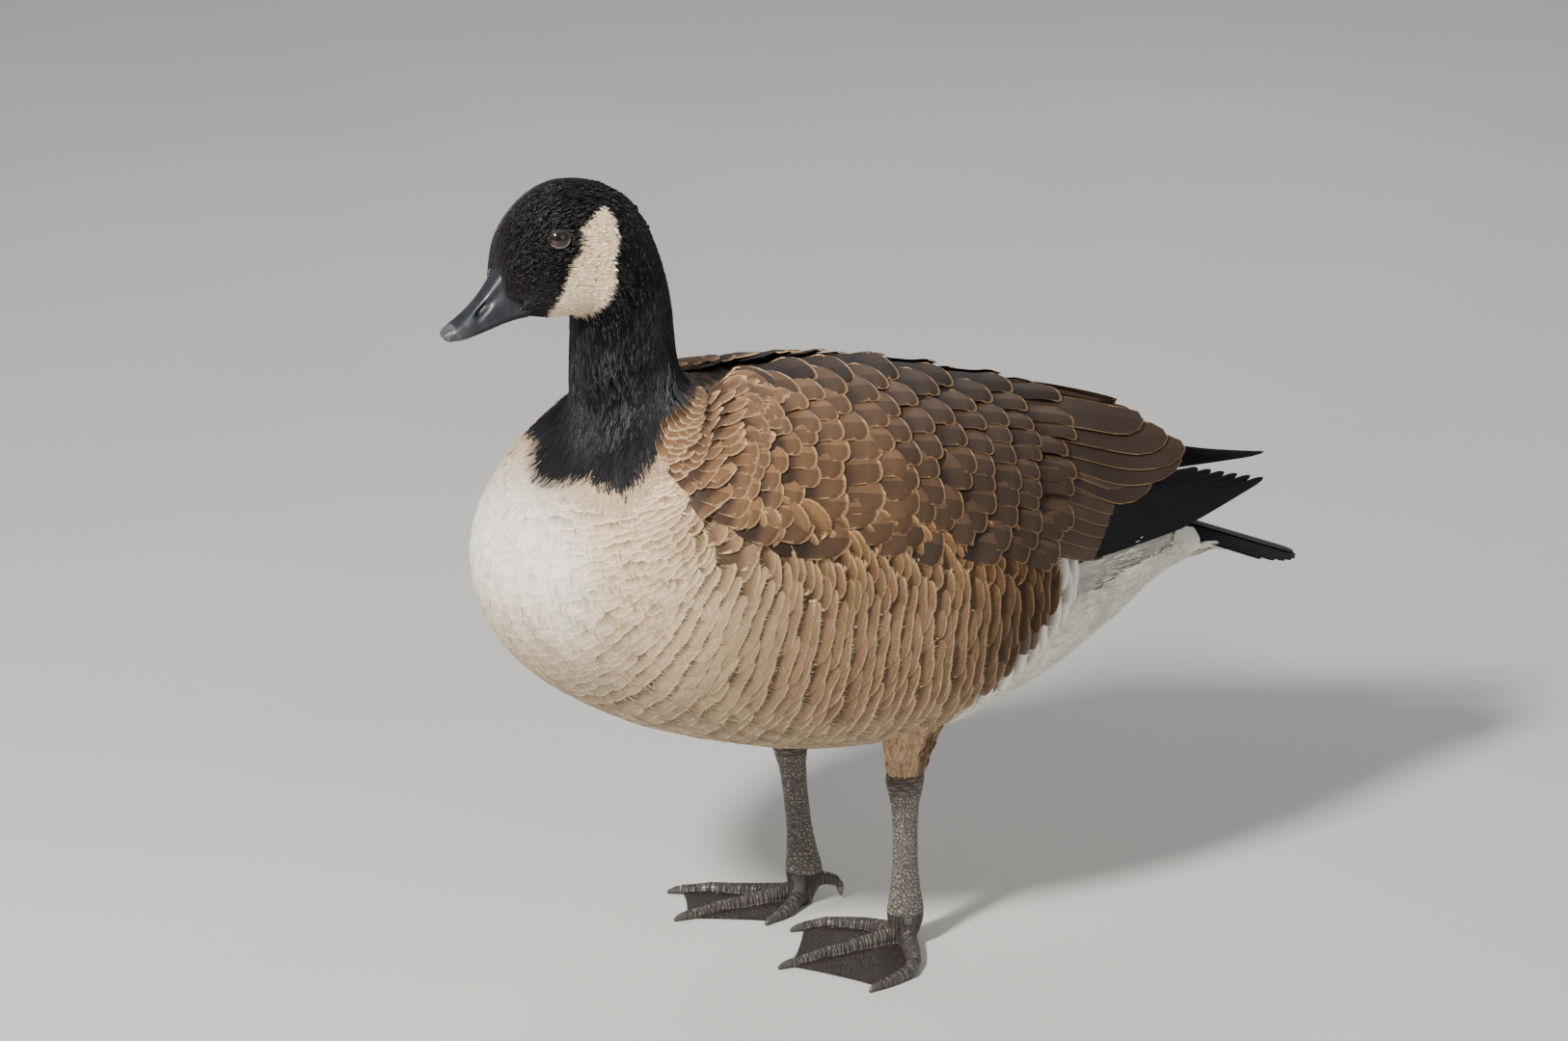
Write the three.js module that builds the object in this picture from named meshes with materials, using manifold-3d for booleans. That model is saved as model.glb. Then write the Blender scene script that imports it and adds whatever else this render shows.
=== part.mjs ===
// A standing Canada goose at life size, as a still display model made of separate closed pieces.
// Millimetres. x points to the bird's left, y to its tail and z up; the soles stand on z = 0.
import * as THREE from "three";
import { mergeVertices } from "three/addons/utils/BufferGeometryUtils.js";
import Module from "manifold-3d";

const wasm = await Module();
wasm.setup();

// Driving sizes
const seam = 0.35; // clearance between neighbouring pieces
const fineness = 0.06; // edges that change a shape by less than this are left out
const sideCount = 24; // points round a body ring
const ringsPerStation = 2;
const eye = { y: -212, z: 470.5, radius: 7.2, depth: 4.6, lid: 1, halfLength: 5.9, halfHeight: 4.7 };
const wingThickness = 7;
const webThickness = 1.6;

// The body in side view, from the tail coverts to the forehead. Each station joins a point of the
// back to one of the underside, both [y, z]. half is half the width there, wide says how far down
// the widest line lies, and full is the roundness: 2 is an ellipse and more is squarer.
const bodyStations = [
  { back: [210, 232], under: [258, 196], half: 18, wide: 0.5, full: 2.2 },
  { back: [190, 256], under: [222, 205], half: 36, wide: 0.63, full: 2.2 },
  { back: [158, 288], under: [180, 197], half: 53, wide: 0.66, full: 2.2 },
  { back: [118, 316], under: [137, 171], half: 70, wide: 0.61, full: 2.2 },
  { back: [62, 336], under: [82, 145], half: 86, wide: 0.57, full: 2.2 },
  { back: [4, 353], under: [18, 129], half: 98, wide: 0.565, full: 2.2 },
  { back: [-50, 363], under: [-52, 131], half: 103, wide: 0.557, full: 2.2 },
  { back: [-88, 366], under: [-120, 148], half: 103, wide: 0.54, full: 2.15 },
  { back: [-110, 365], under: [-182, 174], half: 99, wide: 0.52, full: 2.1 },
  { back: [-121, 367], under: [-233, 214], half: 92, wide: 0.5, full: 2.05 },
  { back: [-127, 371], under: [-251, 262], half: 79, wide: 0.5, full: 2 },
  { back: [-131, 377], under: [-235, 303], half: 55, wide: 0.5, full: 2 },
  { back: [-133, 387], under: [-206, 329], half: 40, wide: 0.5, full: 2 },
  { back: [-134, 400], under: [-193.5, 353], half: 33, wide: 0.5, full: 2 },
  { back: [-135, 415], under: [-192.5, 379], half: 31, wide: 0.5, full: 2 },
  { back: [-138, 432], under: [-191.5, 403], half: 29.5, wide: 0.5, full: 2 },
  { back: [-142, 448], under: [-193, 416], half: 29, wide: 0.5, full: 2 },
  { back: [-150, 467], under: [-197, 419], half: 28.5, wide: 0.52, full: 2 },
  { back: [-162, 483], under: [-203, 418.5], half: 27.5, wide: 0.54, full: 2.1 },
  { back: [-182, 494], under: [-210, 418.5], half: 26.5, wide: 0.56, full: 2.2 },
  { back: [-205, 496.5], under: [-218, 420], half: 24.5, wide: 0.57, full: 2.2 },
  { back: [-224, 488], under: [-227, 422], half: 21.5, wide: 0.58, full: 2.2 },
  { back: [-238, 472], under: [-236, 423], half: 17, wide: 0.58, full: 2.1 },
  { back: [-242, 452], under: [-241, 425], half: 12.5, wide: 0.55, full: 2 },
];

// The flank's feathers swell to lie over the wing's lower edge: t is a place along the stations,
// edge the wing's edge there, in degrees round from the back, and depth how far the flank swells.
const flankLine = [
  { t: 3.5, edge: 83, depth: 0 },
  { t: 3.9, edge: 79, depth: 5 },
  { t: 4.7, edge: 69, depth: 11 },
  { t: 5.6, edge: 64, depth: 14 },
  { t: 6.9, edge: 64, depth: 12 },
  { t: 8.2, edge: 63, depth: 11 },
  { t: 9, edge: 64, depth: 8 },
  { t: 9.6, edge: 67, depth: 5 },
  { t: 10.3, edge: 72, depth: 0 },
];
const flankFall = 0.5; // how far below the edge the swell dies away, in radians round the body
const flankRise = 0.2; // where it begins above the edge, as a share of the way from the back

// Where the neck is parted: each plane passes through at, and its normal points along the neck.
const neckCuts = {
  base: { at: [0, -165, 350], normal: [0, -0.5, 0.866] },
  middle: { at: [0, -164, 388], normal: [0, -0.2, 0.98] },
  throat: { at: [0, -166, 431], normal: [0, -0.42, 0.907] },
};

// The bill in side view: the ridge of the culmen, the mouth line and the lower edge, each [y, z].
const billStations = [
  { ridge: [-232, 464], mouth: [-226, 428], lower: [-226, 421], half: 13.5 },
  { ridge: [-242.5, 449], mouth: [-234, 426.8], lower: [-233, 420.5], half: 13 },
  { ridge: [-250, 439], mouth: [-242, 424.8], lower: [-240.5, 419], half: 12 },
  { ridge: [-257.5, 431], mouth: [-251, 421.8], lower: [-249, 416.6], half: 11 },
  { ridge: [-265, 425], mouth: [-260, 418.8], lower: [-257.5, 414.4], half: 10.4 },
  { ridge: [-271.5, 421], mouth: [-268.5, 416], lower: [-265, 412.8], half: 9 },
  { ridge: [-276, 417.5], mouth: [-274, 413.5], lower: [-269, 412.4], half: 5.5 },
];
// One side of the bill across a station, from the middle of its top to the middle of its bottom:
// each point says how far out it lies and how far up, as shares of the half width and the depth.
const upperBillShape = [
  [0, 1], [0.45, 0.93], [0.72, 0.7], [0.9, 0.36], [1, 0.08], [0.97, -0.06], [0.5, 0], [0, 0],
];
const lowerBillShape = [[0, 1], [0.6, 1], [0.98, 0.92], [1, 0.66], [0.82, 0.25], [0.45, 0.04], [0, 0]];
const lowerBillInset = 2.2; // how much narrower the lower half is on each side
const billCut = { at: [0, -231, 440], normal: [0, -1, 0] };
const nostril = { y: -253.5, z: 430, side: 10, length: 5.2, height: 1.7, depth: 2.6, pitch: -0.75 };

// The folded wing, from the shoulder to the tip of the inner flight feathers. Each station crosses
// the outside of the wing from its upper edge by its middle to its lower edge, all [x, y, z].
const wingStations = [
  { top: [30, -127, 362], mid: [62, -147, 352], low: [84, -164, 334] },
  { top: [21, -98, 367], mid: [70, -114, 349], low: [98, -134, 320] },
  { top: [17, -52, 366], mid: [76, -70, 340], low: [105, -92, 306] },
  { top: [15, 2, 357], mid: [77, -12, 328], low: [106, -28, 295] },
  { top: [13, 58, 341], mid: [71, 46, 310], low: [101, 30, 275] },
  { top: [11, 116, 323], mid: [60, 100, 288], low: [88, 80, 249] },
  { top: [9, 172, 303], mid: [43, 150, 270], low: [65, 124, 234] },
  { top: [8, 216, 286], mid: [29, 204, 268], low: [43, 188, 246] },
  { top: [5, 256, 268], mid: [15, 250, 257], low: [23, 240, 246] },
];

// Rows of scale-like feathers from the shoulder to the flight feathers: tip says how far back the
// row's tips lie in stations, count how many feathers lie across, and reach how long they are.
const covertRows = [
  { tip: 0.62, count: 5, reach: 0.7 },
  { tip: 1.1, count: 6, reach: 0.75 },
  { tip: 1.65, count: 6, reach: 0.85 },
  { tip: 2.25, count: 6, reach: 0.9 },
  { tip: 2.9, count: 6, reach: 1 },
  { tip: 3.6, count: 7, reach: 1.05 },
  { tip: 4.4, count: 8, reach: 1.1 },
  { tip: 5.05, count: 8, reach: 1 },
];
const wingEnd = 5.5; // where the wing's plate ends, in stations
const wingBed = { height: 40, margin: 0.012, beyond: 1.5 }; // what the trunk leaves free for the wing
const covertLift = 2.2; // how far a covert's tip stands out from the wing
const vaneThickness = 1.1;

// Flight feathers run from a station at the root to one at the tip. lowest, highest, first and
// tipFirst are places across the wing, and lift is how far a tip stands out over the vane below.
const secondaries = {
  count: 7,
  root: 4.7,
  lowest: 0.94,
  highest: 0.34,
  tipTop: 6.35,
  tipLow: 5.75,
  width: 19,
  lift: 1.2,
};
const tertials = {
  root: 4.5,
  tips: [7.05, 7.2, 7, 6.75],
  first: 0.34,
  pitch: 0.085,
  tipFirst: 0.62,
  tipPitch: 0.16,
  width: 21,
  lift: 2.6,
  liftStep: 0.4,
};
const primaries = {
  count: 5,
  width: 17,
  facing: [0.82, 0.12, 0.5],
  root: [81.5, 84, 250],
  middle: [54, 165, 241],
  tip: [24, 262, 249],
  step: [-1.6, -1, 5.4],
  tipStep: [-2.2, -10, 2.4],
  farReach: 26,
};
const tailCut = { at: [0, 196, 220], normal: [0, 0.95, -0.3] };
const tail = {
  root: [0, 200, 223],
  count: 11,
  length: 106,
  width: 18,
  turn: 0.03,
  apart: 1.9,
  droop: 0.34,
  step: 1.45,
  shorter: 0.012,
};

// Legs: where each joint stands, [x, y, z]; the way of each toe over the floor from the ankle to
// its tip, [x, y]; and the small hind toe, [x, y, z]
const legs = [
  {
    name: "left",
    knee: [52, 2, 160],
    hock: [46, 0, 112],
    ankle: [44, 2, 19],
    toes: {
      inner: [[20, -10], [3, -28], [-2, -45]],
      middle: [[42, -24], [42, -50], [42, -77]],
      outer: [[64, -4], [86, -17], [95, -45]],
    },
    hindToe: [[41, 6, 14], [37, 11, 15], [35, 13.5, 13], [34, 15, 9.5]],
  },
  {
    name: "right",
    knee: [-50, -32, 160],
    hock: [-43, -31, 112],
    ankle: [-40, -22, 19],
    toes: {
      outer: [[-56, -42], [-76, -65], [-87, -85]],
      middle: [[-46, -44], [-49, -72], [-50, -100]],
      inner: [[-33, -32], [-26, -42], [-21, -54]],
    },
    hindToe: [[-38, -17, 14], [-35.5, -9, 15], [-34, -4, 13], [-33, -1, 9.5]],
  },
];

// Rings along each part of a leg: how far along it lies, then its half width and half depth
const thighRings = [[-0.5, 26, 33], [0, 21, 26], [0.35, 16, 20], [0.7, 12, 15.5], [1.1, 10.2, 12.4]];
const shankRings = [
  [-0.3, 6.5, 8], [-0.06, 10, 12], [0.04, 10, 12.4], [0.12, 9, 10.8], [0.22, 7.4, 8.8],
  [0.4, 6.6, 7.9], [0.65, 6.8, 8.1], [0.82, 8, 9.8], [0.94, 9.4, 11.8], [1.05, 9.6, 12],
];
const shankStart = 0.96; // where the bare shank meets the thigh, from the knee, 0, to the hock, 1

// The heel's rings: how high, as a share of the ankle's height, how far back, half width, half depth
const heelRings = [
  [1.06, 0, 9.6, 11.8], [0.9, 0, 9.6, 11.5], [0.6, -1, 8.6, 10.4], [0.3, -3, 7.4, 9.4], [-0.05, -4, 6, 8],
];

// A toe's rings: how far along it lies, the radius, and how high its middle line may stand
const toeRings = [[0.02, 6.4], [0.2, 5.2], [0.38, 4.8], [0.52, 4.25], [0.7, 4.48], [0.84, 3.6], [1, 3.1]];
const toeHeight = { root: 8.5, tip: 2.8, over: 1.5 };
const clawSize = { length: 8, radius: 2.7 };
const clawRings = [[-0.3, 0], [0, 0], [0.4, 0.25], [0.75, 0.9], [1, 2.2]]; // how far along, drop
const hindToeRadii = [4.2, 4.2, 3.7, 2.8, 2.6];
const hindClawRings = [[3, 2.7], [0, 2.7], [-3, 2.2], [-5.5, 1.5], [-7.2, 0.8]]; // rise, radius
const web = { from: 0.12, reaches: [0.94, 0.97, 0.95], hollow: 0.03, height: 1.3, climb: 0.35 };

// Finishes
const finish = (color, roughness) => new THREE.MeshStandardMaterial({ color, roughness, metalness: 0 });
const blackFeather = finish(0x0d0c0d, 0.7);
const paleFeather = finish(0xb8a58f, 0.8);
const brownFeather = finish(0x6a4a35, 0.75);
const darkFeather = finish(0x17130f, 0.6);
const billHorn = finish(0x1c1d20, 0.35);
const eyeGloss = finish(0x120a06, 0.05);
const legSkin = finish(0x4a443c, 0.5);
const clawHorn = finish(0x2a2724, 0.4);

const group = new THREE.Group();
const v3 = (p) => new THREE.Vector3(...p);
const { degToRad, lerp, smoothstep } = THREE.MathUtils;

// Shapes from rings of points

// Every number of a station, each in turn, between the stations at t by a Catmull-Rom spline.
function along(stations, t) {
  const last = stations.length - 1;
  const i = Math.min(Math.max(Math.floor(t), 0), last - 1);
  const f = t - i;
  const [a, b, c, d] = [i - 1, i, i + 1, i + 2].map((n) => stations[Math.min(Math.max(n, 0), last)]);
  const mix = (p, q, r, s) => {
    if (Array.isArray(q)) return q.map((_, n) => mix(p[n], q[n], r[n], s[n]));
    const bend = (2 * p - 5 * q + 4 * r - s) * f * f + (3 * q - p - 3 * r + s) * f * f * f;
    return q + ((r - p) * f + bend) / 2;
  };
  return Object.fromEntries(Object.keys(b).map((key) => [key, mix(a[key], b[key], c[key], d[key])]));
}

// A closed mesh through rings with the same number of points, going round the way from the first
// to the last. Its ends are fans, or strips between the two faces where the rings go round a plate.
function ringMesh(rings, plate = false) {
  const sides = rings[0].length;
  const points = rings.flat();
  const faces = [];
  for (let r = 0; r + 1 < rings.length; r++)
    for (let s = 0; s < sides; s++) {
      const [a, b] = [r * sides + s, r * sides + ((s + 1) % sides)];
      faces.push([a, b, b + sides], [a, b + sides, a + sides]);
    }
  for (const first of [true, false]) {
    const start = first ? 0 : (rings.length - 1) * sides;
    const cap = [];
    if (plate) {
      for (let s = 0; s < sides / 2 - 1; s++) {
        const [a, b] = [start + s, start + s + 1];
        const [c, d] = [start + sides - 2 - s, start + sides - 1 - s];
        cap.push([a, b, c], [a, c, d]);
      }
    } else {
      const hub = points.length;
      const ring = points.slice(start, start + sides);
      points.push(ring.reduce((sum, p) => sum.add(p), new THREE.Vector3()).divideScalar(sides));
      for (let s = 0; s < sides; s++) cap.push([start + s, start + ((s + 1) % sides), hub]);
    }
    faces.push(...(first ? cap.map(([a, b, c]) => [b, a, c]) : cap));
  }
  return new THREE.BufferGeometry().setFromPoints(points).setIndex(faces.flat());
}

// A closed thin sheet over a grid of cells: top and bottom give its two faces at u, v from 0 to 1,
// and both faces are split into triangles alike.
function sheet(cellsU, cellsV, top, bottom) {
  const points = [];
  const faces = [];
  const perRow = cellsU + 1;
  const layer = perRow * (cellsV + 1);
  for (const face of [top, bottom])
    for (let v = 0; v <= cellsV; v++)
      for (let u = 0; u <= cellsU; u++) points.push(face(u / cellsU, v / cellsV));
  for (let v = 0; v < cellsV; v++)
    for (let u = 0; u < cellsU; u++) {
      const a = v * perRow + u;
      faces.push([a, a + 1, a + 1 + perRow], [a, a + 1 + perRow, a + perRow]);
      const b = a + layer;
      faces.push([b, b + 1 + perRow, b + 1], [b, b + perRow, b + 1 + perRow]);
    }
  const border = [];
  for (let u = 0; u < cellsU; u++) border.push(u);
  for (let v = 0; v < cellsV; v++) border.push(v * perRow + cellsU);
  for (let u = cellsU; u > 0; u--) border.push(cellsV * perRow + u);
  for (let v = cellsV; v > 0; v--) border.push(v * perRow);
  border.forEach((a, n) => {
    const b = border[(n + 1) % border.length];
    faces.push([b, a, a + layer], [b, a + layer, b + layer]);
  });
  return solid(new THREE.BufferGeometry().setFromPoints(points).setIndex(faces.flat()));
}

function solid(geometry, matrix) {
  const bare = geometry.clone();
  bare.deleteAttribute("normal");
  bare.deleteAttribute("uv");
  if (matrix) bare.applyMatrix4(matrix);
  const merged = mergeVertices(bare, 1e-4);
  const made = new wasm.Manifold(
    new wasm.Mesh({
      numProp: 3,
      vertProperties: new Float32Array(merged.attributes.position.array),
      triVerts: new Uint32Array(merged.index.array),
    }),
  );
  if (made.volume() >= 0) return made;
  const turned = merged.index.array;
  for (let i = 0; i < turned.length; i += 3) [turned[i + 1], turned[i + 2]] = [turned[i + 2], turned[i + 1]];
  return solid(merged);
}

const ringSolid = (rings, plate) => solid(ringMesh(rings, plate));
const join = (solids) => solids.reduce((sum, next) => sum.add(next));

// The largest closed surface of a solid: drops loose scraps and fills sealed hollows.
function largest(made) {
  return made.decompose().reduce((best, part) => (part.volume() > best.volume() ? part : best));
}

function piece(name, made, material) {
  const mesh = largest(made).asOriginal().simplify(fineness).getMesh();
  const geometry = new THREE.BufferGeometry();
  geometry.setAttribute("position", new THREE.BufferAttribute(new Float32Array(mesh.vertProperties), 3));
  geometry.setIndex(new THREE.BufferAttribute(new Uint32Array(mesh.triVerts), 1));
  geometry.computeVertexNormals();
  const node = new THREE.Mesh(geometry, material);
  node.name = name;
  group.add(node);
}

// The part of a solid on the side that the cut's normal points to, or on the other side.
function beyond(made, cut, side) {
  const normal = v3(cut.normal).normalize();
  const offset = normal.dot(v3(cut.at));
  return side > 0
    ? made.trimByPlane(normal.toArray(), offset + seam / 2)
    : made.trimByPlane(normal.clone().negate().toArray(), -offset + seam / 2);
}

// A round or oval tube along points, each { at: [x, y, z], wide, deep }: wide is its half width
// across the bird and deep its half depth along the way that it faces.
function limb(points, sides) {
  const rings = points.map(({ at, wide, deep }, i) => {
    const before = v3(points[Math.max(i - 1, 0)].at);
    const after = v3(points[Math.min(i + 1, points.length - 1)].at);
    const way = after.sub(before).normalize();
    const across = new THREE.Vector3(0, Math.abs(way.z) > 0.7 ? 1 : 0, Math.abs(way.z) > 0.7 ? 0 : 1);
    across.cross(way).normalize();
    const facing = way.clone().cross(across);
    return Array.from({ length: sides }, (_, s) => {
      const turn = (2 * Math.PI * s) / sides;
      return v3(at)
        .addScaledVector(across, wide * Math.cos(turn))
        .addScaledVector(facing, deep * Math.sin(turn));
    });
  });
  return ringSolid(rings);
}

// The body: torso, neck and head are one form, parted at the neck

const power = (value, full) => Math.sign(value) * Math.abs(value) ** (2 / full);

// How far the flank swells at t and turn.
function swell(t, turn) {
  const after = flankLine.findIndex((place) => place.t > t);
  if (after < 1) return 0;
  const [a, b] = [flankLine[after - 1], flankLine[after]];
  const f = (t - a.t) / (b.t - a.t);
  const edge = degToRad(lerp(a.edge, b.edge, f));
  const round = Math.acos(Math.cos(turn));
  const below = 1 - smoothstep(round, edge, edge + flankFall);
  const share = round > edge ? below : smoothstep(round / edge, flankRise, 1);
  return lerp(a.depth, b.depth, f) * share;
}

// A point of the body's surface: t runs along the stations and turn runs from the back, 0, by the
// bird's left side to the underside, at pi. grow swells the body by that much.
function bodyPoint(t, turn, grow = 0) {
  const { back, under, half, wide, full } = along(bodyStations, t);
  const down = new THREE.Vector2(under[0] - back[0], under[1] - back[1]);
  const depth = down.length();
  down.normalize();
  const out = grow + swell(t, turn);
  const reach = (Math.cos(turn) > 0 ? depth * wide : depth * (1 - wide)) + out;
  const drop = depth * wide - reach * power(Math.cos(turn), full);
  const x = (half + out) * power(Math.sin(turn), full);
  return new THREE.Vector3(x, back[0] + down.x * drop, back[1] + down.y * drop);
}

function bodySolid(grow) {
  const rings = [];
  const count = (bodyStations.length - 1) * ringsPerStation;
  for (let r = 0; r <= count; r++) {
    const t = r / ringsPerStation;
    const stretch = new THREE.Vector3(0, r === 0 ? grow : r === count ? -grow : 0, 0);
    const turns = Array.from({ length: sideCount }, (_, s) => (2 * Math.PI * s) / sideCount);
    rings.push(turns.map((turn) => bodyPoint(t, turn, grow).add(stretch)));
  }
  return ringSolid(rings);
}

const body = bodySolid(0);
const swollenBody = bodySolid(seam * 1.3);

// The bill: the upper half overhangs the lower, which closes against it at the mouth line

function billSolid(upper, grow = 0) {
  const rings = [];
  for (let t = 0; t <= billStations.length - 1; t += 0.5) {
    const { ridge, mouth, lower, half } = along(billStations, t);
    const [top, bottom] = upper ? [ridge, mouth] : [mouth, lower];
    const width = grow + (upper ? half : half - lowerBillInset);
    const points = (upper ? upperBillShape : lowerBillShape).map(([side, rise]) => {
      const y = bottom[0] + (top[0] - bottom[0]) * rise;
      const z = bottom[1] + (top[1] - bottom[1]) * rise - (upper ? 0 : seam);
      return [side * width, y, z];
    });
    const right = points.slice(1, -1).reverse().map(([x, y, z]) => [-x, y, z]);
    rings.push([...points, ...right].map(v3));
  }
  return ringSolid(rings);
}

// The place and the outward way of the skin beside the eye on the bird's left.
function skinAt(y, z) {
  let best = null;
  for (let t = bodyStations.length - 7; t < bodyStations.length - 1; t += 0.05)
    for (let turn = 0.6; turn < 2.4; turn += 0.02) {
      const p = bodyPoint(t, turn);
      const off = Math.hypot(p.y - y, p.z - z);
      if (best === null || off < best.off) best = { p, t, turn, off };
    }
  const { p, t, turn } = best;
  const lengthwise = bodyPoint(t + 0.1, turn).sub(bodyPoint(t - 0.1, turn));
  const round = bodyPoint(t, turn + 0.05).sub(bodyPoint(t, turn - 0.05));
  const out = lengthwise.cross(round).normalize();
  return { p, out: out.x < 0 ? out.negate() : out };
}

function makeHead() {
  const { p, out } = skinAt(eye.y, eye.z);
  const centre = p.clone().addScaledVector(out, -eye.depth);
  const ball = (radius) => solid(new THREE.SphereGeometry(radius, 16, 10));
  const opening = solid(new THREE.CylinderGeometry(1, 1, 12, 20)).scale([eye.halfLength, 1, eye.halfHeight]);
  const facing = new THREE.Matrix4().makeBasis(new THREE.Vector3(0, -1, 0), out, new THREE.Vector3(0, 0, 1));
  facing.setPosition(centre.clone().addScaledVector(out, eye.depth - 1 + 6));
  let head = beyond(body, neckCuts.throat, 1);
  let upperBill = billSolid(true);
  const lowerBill = billSolid(false).subtract(billSolid(true, seam).translate([0, 0, -seam]));
  for (const side of [1, -1]) {
    const place = [side * centre.x, centre.y, centre.z];
    const mirror = (made) => (side > 0 ? made : made.mirror([1, 0, 0]));
    head = head
      .add(ball(eye.radius + seam + eye.lid).translate(place))
      .subtract(ball(eye.radius + seam).translate(place))
      .subtract(mirror(opening.transform(facing.elements)));
    const slot = new THREE.Matrix4()
      .makeTranslation(side * nostril.side, nostril.y, nostril.z)
      .multiply(new THREE.Matrix4().makeRotationX(-nostril.pitch))
      .multiply(new THREE.Matrix4().makeScale(nostril.depth, nostril.length, nostril.height));
    upperBill = upperBill.subtract(solid(new THREE.SphereGeometry(1, 10, 6), slot));
    piece(side > 0 ? "eye_left" : "eye_right", ball(eye.radius).translate(place), eyeGloss);
  }
  piece("head", head, blackFeather);
  piece("bill_upper", beyond(upperBill.subtract(swollenBody), billCut, 1), billHorn);
  piece("bill_lower", beyond(lowerBill.subtract(swollenBody), billCut, 1), billHorn);
}

function makeNeck() {
  const neck = beyond(beyond(body, neckCuts.base, 1), neckCuts.throat, -1);
  piece("neck_lower", beyond(neck, neckCuts.middle, -1), blackFeather);
  piece("neck_upper", beyond(neck, neckCuts.middle, 1), blackFeather);
}

// The folded wing: a shield of coverts on the body's side, with flight feathers in tiers behind

// A point of the wing's outer face: s runs along the stations, q from the upper edge, 0, to the
// lower, 1, and lift is the distance out from the face.
function wingPoint(s, q, lift, side) {
  const face = (a, b) => {
    const { top, mid, low } = along(wingStations, a);
    const [u, m, l] = [(1 - b) * (1 - 2 * b), 4 * b * (1 - b), b * (2 * b - 1)];
    return new THREE.Vector3(...top.map((_, n) => top[n] * u + mid[n] * m + low[n] * l));
  };
  const step = 0.02;
  const here = face(s, q);
  const alongWing = face(s + step, q).sub(face(s - step, q));
  const acrossWing = face(s, q + step).sub(face(s, q - step));
  const out = acrossWing.cross(alongWing).normalize();
  if (out.x < 0) out.negate();
  here.addScaledVector(out, lift);
  here.x *= side;
  return here;
}

// The wing's plate between two distances from its outer face; margin widens it past its edges.
function wingPlate(side, outerLift, innerLift, margin, end) {
  const rings = [];
  const acrossCount = 6;
  for (let s = 0; s <= end; s += 0.5) {
    const at = s === 0 ? -margin : s === end ? s + margin : s;
    const thin = Math.min(1, (wingEnd + 1 - s) / 2);
    const outer = [];
    const inner = [];
    for (let n = 0; n <= acrossCount; n++) {
      const q = -margin + ((1 + 2 * margin) * n) / acrossCount;
      outer.push(wingPoint(at, q, outerLift, side));
      inner.unshift(wingPoint(at, q, end > wingEnd ? innerLift : innerLift * thin, side));
    }
    rings.push([...outer, ...inner]);
  }
  return ringSolid(rings, true);
}

// How wide the wing is across its stations at s.
function wingWidth(s) {
  const { top, mid, low } = along(wingStations, s);
  return v3(top).distanceTo(v3(mid)) + v3(mid).distanceTo(v3(low));
}

// The half width of a feather along its length v, as a share of its greatest.
function taper(v) {
  const tip = Math.max(0, (v - 0.62) / 0.4);
  return Math.min(1, 0.55 + 1.6 * v) * Math.sqrt(Math.max(0.1, 1 - tip * tip));
}

// A covert: a scale with its root sunk in the wing and its rounded tip standing out.
function covert(side, tip, q, width, reach) {
  const place = (u, v, lift) => {
    const across = 2 * u - 1;
    const rounding = 0.2 * reach * across * across * v;
    const s = tip - reach * (1 - v) - rounding;
    const spread = (width / wingWidth(s)) * 0.5 * (0.8 + 0.3 * v);
    const inside = Math.min(Math.max(q + across * spread, 0.01), 0.99);
    return wingPoint(Math.max(s, 0.02), inside, lift - 0.5 * across, side);
  };
  const top = (u, v) => place(u, v, -1 + (covertLift + 1) * v - 0.5 * (2 * u - 1) ** 2);
  return sheet(3, 1, top, (u, v) => place(u, v, -wingThickness * 0.5));
}

// A long vane on the wing's face, from s at its root to s at its tip and from q to q.
function wingVane(side, from, to, width, lift) {
  const place = (u, v, out) => {
    const across = 2 * u - 1;
    const s = from[0] + (to[0] - from[0]) * (v - 0.06 * across * across * v);
    const q = from[1] + (to[1] - from[1]) * v;
    const spread = ((width * taper(v)) / wingWidth(Math.min(s, 7))) * 0.5;
    const inside = Math.min(Math.max(q + across * spread, 0.01), 0.99);
    return wingPoint(s, inside, out + lift * v - (1 - v) ** 3 * 4 - 0.7 * across, side);
  };
  const top = (u, v) => place(u, v, vaneThickness + 0.4 * (1 - (2 * u - 1) ** 2));
  return sheet(2, 4, top, (u, v) => place(u, v, 0));
}

// A primary: one of the long dark blades of the folded wing's tip; n counts up from the lowest.
function primary(side, n) {
  const { width, facing, root, middle, tip, step, tipStep, farReach } = primaries;
  const longer = side > 0 ? 0 : farReach;
  const moved = (p, by) => p.map((value, axis) => value + n * by[axis]);
  const points = [moved(root, step), moved(middle, step), moved(tip, tipStep)];
  points[1][1] += longer * 0.5;
  points[2][1] += longer;
  points[2][0] -= longer * 0.35;
  const line = new THREE.QuadraticBezierCurve3(...points.map(v3));
  const out = v3(facing).normalize();
  const place = (u, v, lift) => {
    const across = 2 * u - 1;
    const up = line.getTangent(v).cross(out).normalize();
    if (up.z < 0) up.negate();
    const p = line.getPoint(v - 0.05 * across * across * v);
    p.addScaledVector(up, across * width * 0.5 * taper(v)).addScaledVector(out, lift + across * 0.5);
    p.x *= side;
    return p;
  };
  const half = vaneThickness / 2;
  const top = (u, v) => place(u, v, half + 0.3 * (1 - (2 * u - 1) ** 2));
  return sheet(2, 5, top, (u, v) => place(u, v, -half));
}

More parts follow.
